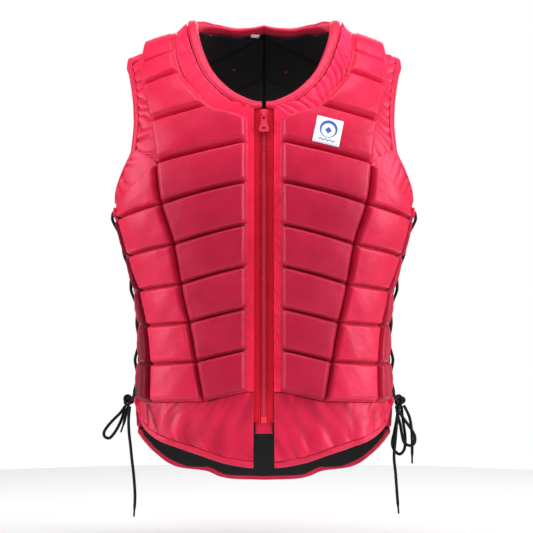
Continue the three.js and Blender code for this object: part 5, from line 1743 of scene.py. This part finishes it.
# Lacing at one side: a strand zigzags up from loop to loop and a second comes down over it. At each
# loop a strand passes half a step above and half below.
def lacingPath():
    height = lacing["bandTop"] + lacing["clear"]
    over = lacing["diameter"] + 2 * gap
    atLoop = height + over * lacing["overAtLoop"]
    between = height - lacing["sink"]
    half = lacing["halfPass"]
    points = []

    def put(drop, phase, rise):
        x = float(bodyAt(np.array([90.0, drop]))[0][0])
        y = phase * lacing["spread"]
        points.append((x + rise - abs(y) * lacing["lean"], y, -drop))

    upward = anchorDrops[::-1]
    points.append((lacing["knotX"], -half, -lacing["knotDrop"]))
    for k, drop in enumerate(upward):
        phase = 1 if k % 2 else -1
        put(drop + half, phase, height)
        put(drop - half, phase, height)
        if k < anchorCount - 1:
            put((drop + upward[k + 1]) / 2, 0, between)
    topSide = -1 if anchorCount % 2 else 1
    put(lacing["top"] - lacing["topTurn"], topSide * lacing["topSpread"], height)
    for k in range(anchorCount - 1, -1, -1):
        drop = upward[k]
        phase = -1 if k % 2 else 1
        put(drop - half, phase, atLoop)
        put(drop + half, phase, atLoop)
        if k:
            put((drop + upward[k - 1]) / 2, 0, between + over)
    points.append((lacing["knotX"], 2 * half, -lacing["knotDrop"]))
    return points


lacePath = smoothPath(lacingPath(), 1.5 * mm)[0]
for mirror, word in ((1, "left"), (-1, "right")):
    path = lacePath * np.array([mirror, 1, 1])
    lace = tubePiece(f"side_lace_{word}", path, lacing["diameter"] / 2, laceBraid, reference=(1, 0, 0))
    standFor(lace, f"side_lacing_{word}")
print("side lacing ready")


tack = {"turn": 0.8, "half": 2.4 * mm, "radius": 0.45 * mm, "proud": 0.3 * mm}


# A small cross of red thread tacks the lining at an x and z of its inner side
def crossTack(name, x, z):
    falls = np.linspace(0.02, 0.12, 400)
    spots = np.array([atX(x, -fall) for fall in falls])
    spot = spots[np.argmin(np.abs(bodyAt(spots)[0][:, 2] - z))]
    point, out = bodyAt(spot)
    across = np.cross([0, 0, 1], out)
    across /= np.linalg.norm(across)
    upright = np.cross(out, across)
    centre = point + out * (float(liningHeights(point[None])[0]) - tack["proud"])
    for k, turn in enumerate((tack["turn"], -tack["turn"])):
        stroke = across * math.cos(turn) + upright * math.sin(turn)
        path = centre + stroke * np.linspace(-tack["half"], tack["half"], 9)[:, None]
        thread = tubePiece(f"{name}_{k}", path, tack["radius"], threadMaterial, reference=tuple(out),
                           sides=8)
        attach(thread, "vest")


crossTack("lining_tack_right", -0.042, -0.023)
crossTack("lining_tack_left", 0.0305, -0.026)

# Bows: routes of the loops and free ends from their knot in millimetres, x outward
bows = {
    "left": {
        "knot": (180.5, 2, -471),
        "loop_front": [
            (-5.8, -2.2, -7.1), (1, -3, -18), (8, -4, -28), (15, -5, -38), (20, -5, -48), (19, -5, -57),
            (13, -4, -60), (6, -3, -56), (3, -1, -45), (1, 1, -33), (-2, 3, -21), (-4.3, 3, -7.2),
        ],
        "loop_back": [
            (-0.7, 6.7, -6), (-3, 10, -25), (-6, 12, -42), (-9, 13, -58), (-6, 13, -68), (1, 12, -73),
            (7, 10, -66), (8, 8, -50), (6, 8, -34), (4, 7, -20), (2.6, 4.1, -7),
        ],
        "tail_short": [
            (5.4, -0.3, -6.2), (13, 2, -22), (16, 3, -38), (17, 4, -55), (17, 4, -72), (17, 4, -85),
        ],
        "tail_long": [
            (-1, -6.3, -6.4), (-4, -11, -24), (-6, -9, -50), (-8, -9, -74), (-6, -8, -95),
            (-4.5, -7, -115), (-3, -6, -133), (-1.5, -5, -151),
        ],
    },
    "right": {
        "knot": (180.5, 2, -471),
        "loop_front": [
            (3.6, -3, -6.6), (10, -4, -16), (19, -5, -25), (27, -6, -34), (32, -6, -42), (31, -6, -48),
            (25, -5, -50), (19, -4, -44), (13, -2, -34), (8, 1, -22), (4.7, 2.7, -6.7),
        ],
        "tail_short": [(0.4, 5.5, -6.9), (4, 7, -20), (7, 8, -32), (11, 8, -44)],
        "tail_long": [
            (-2.2, -2.4, -7.4), (-0.5, -4, -24), (-1, -4, -42), (-3, -4, -60), (-5, -4, -80),
            (-7.5, -4, -102), (-9, -4, -128), (-7.5, -4, -155),
        ],
    },
}
knotShape = {
    "wide": 3.9 * mm, "deep": 4.2 * mm, "tall": 4.05 * mm, "thread": 2.1 * mm, "inner": 0.55,
    "reference": (0.3, 1, 0.2),
}
# Free ends thin over their last stretch
laceTip = {"long": 12 * mm, "radius": 1.25 * mm}


# A tight knot: a cord that goes round twice while it winds three times through its own middle
def knotPath(centre):
    t = np.linspace(0, 2 * np.pi, 96, endpoint=False)
    reach = 1 + knotShape["inner"] * np.cos(3 * t)
    x = knotShape["wide"] * reach * np.cos(2 * t)
    z = knotShape["tall"] * reach * np.sin(2 * t)
    y = -knotShape["deep"] * np.sin(3 * t)
    return np.stack([x, y, z], -1) + centre


cordLengths = {}
for hand, parts in bows.items():
    mirror = 1 if hand == "left" else -1
    turnSide = np.array([mirror, 1, 1])
    centre = np.array(parts["knot"]) * mm * turnSide
    knot = tubePiece(f"knot_{hand}", knotPath(centre), knotShape["thread"], laceBraid,
                     reference=knotShape["reference"], closed=True)
    standFor(knot, f"bow_knot_{hand}")
    for part, points in parts.items():
        if part == "knot":
            continue
        path, size = smoothPath(np.array(points) * mm * turnSide + centre, 1.2 * mm)
        run = np.linspace(0, size, len(path))
        radius = np.full(len(path), lacing["diameter"] / 2)
        if part.startswith("tail"):
            radius = np.where(size - run < laceTip["long"], laceTip["radius"], radius)
            radius = np.convolve(np.pad(radius, 2, mode="edge"), np.ones(5) / 5, mode="valid")
        piece = tubePiece(f"lace_{part}_{hand}", path, radius, laceBraid)
        standFor(piece, f"bow_{part}_{hand}")
        cordLengths[piece.name] = round(float(size), 4)
print("bows ready", cordLengths)

# Pale floor and soft studio light
studio = {
    "floorDrop": 0.05,
    "floorReach": 1.2,
    "floorColor": (0.86, 0.86, 0.87),
    "backdrop": 1.0,
    "fill": 0.2,
    "softRight": 42,
    "softLeft": 34,
    "softTop": 26,
    "softBack": 14,
}
lowest = cadBounds[0][2] if not hasattr(cadBounds[0], "z") else cadBounds[0].z
floorMesh = bpy.data.meshes.new("floor")
floorZ = lowest - studio["floorDrop"]
around = np.linspace(0, 2 * np.pi, 96, endpoint=False)
rim = np.stack([np.cos(around), np.sin(around), 0 * around], -1) * studio["floorReach"] + [0, 0, floorZ]
floorMesh.from_pydata(rim.tolist(), [], [list(range(len(rim)))])
floor = bpy.data.objects.new("floor", floorMesh)
floorMesh.materials.append(newMaterial("pale_floor", studio["floorColor"], 0.8, specular=0.2)[0])
bpy.context.collection.objects.link(floor)

world = bpy.data.worlds.new("studio")
bpy.context.scene.world = world
world.use_nodes = True
# The backdrop is white to the eye and gives a weaker fill light
background = world.node_tree.nodes["Background"]
background.inputs["Color"].default_value = (1, 1, 1, 1)
lightPath = world.node_tree.nodes.new("ShaderNodeLightPath")
extra = studio["backdrop"] - studio["fill"]
toEye = mathNode(world.node_tree, "MULTIPLY", lightPath.outputs["Is Camera Ray"], extra)
strength = mathNode(world.node_tree, "ADD", studio["fill"], toEye)
world.node_tree.links.new(strength, background.inputs["Strength"])


# An area light of a width and height in metres, aimed from one place at another
def softbox(name, place, aim, size, energy):
    data = bpy.data.lights.new(name, "AREA")
    data.shape = "RECTANGLE"
    data.size, data.size_y = size
    data.energy = energy
    lamp = bpy.data.objects.new(name, data)
    lamp.location = place
    direction = np.array(aim) - np.array(place)
    pitch = math.atan2(math.hypot(direction[0], direction[1]), -direction[2])
    lamp.rotation_euler = (pitch, 0, math.atan2(-direction[0], direction[1]))
    bpy.context.collection.objects.link(lamp)


chestCentre = (0, 0, -0.28)
softbox("soft_right", (1.8, -0.75, 0.2), chestCentre, (0.8, 1.5), studio["softRight"])
softbox("soft_left", (-1.8, -0.65, 0.2), chestCentre, (0.8, 1.5), studio["softLeft"])
softbox("soft_top", (0.1, -0.55, 1.4), chestCentre, (1.6, 0.7), studio["softTop"])
softbox("soft_back", (0.2, 1.8, 0.9), chestCentre, (1.6, 1.0), studio["softBack"])
print("studio ready")
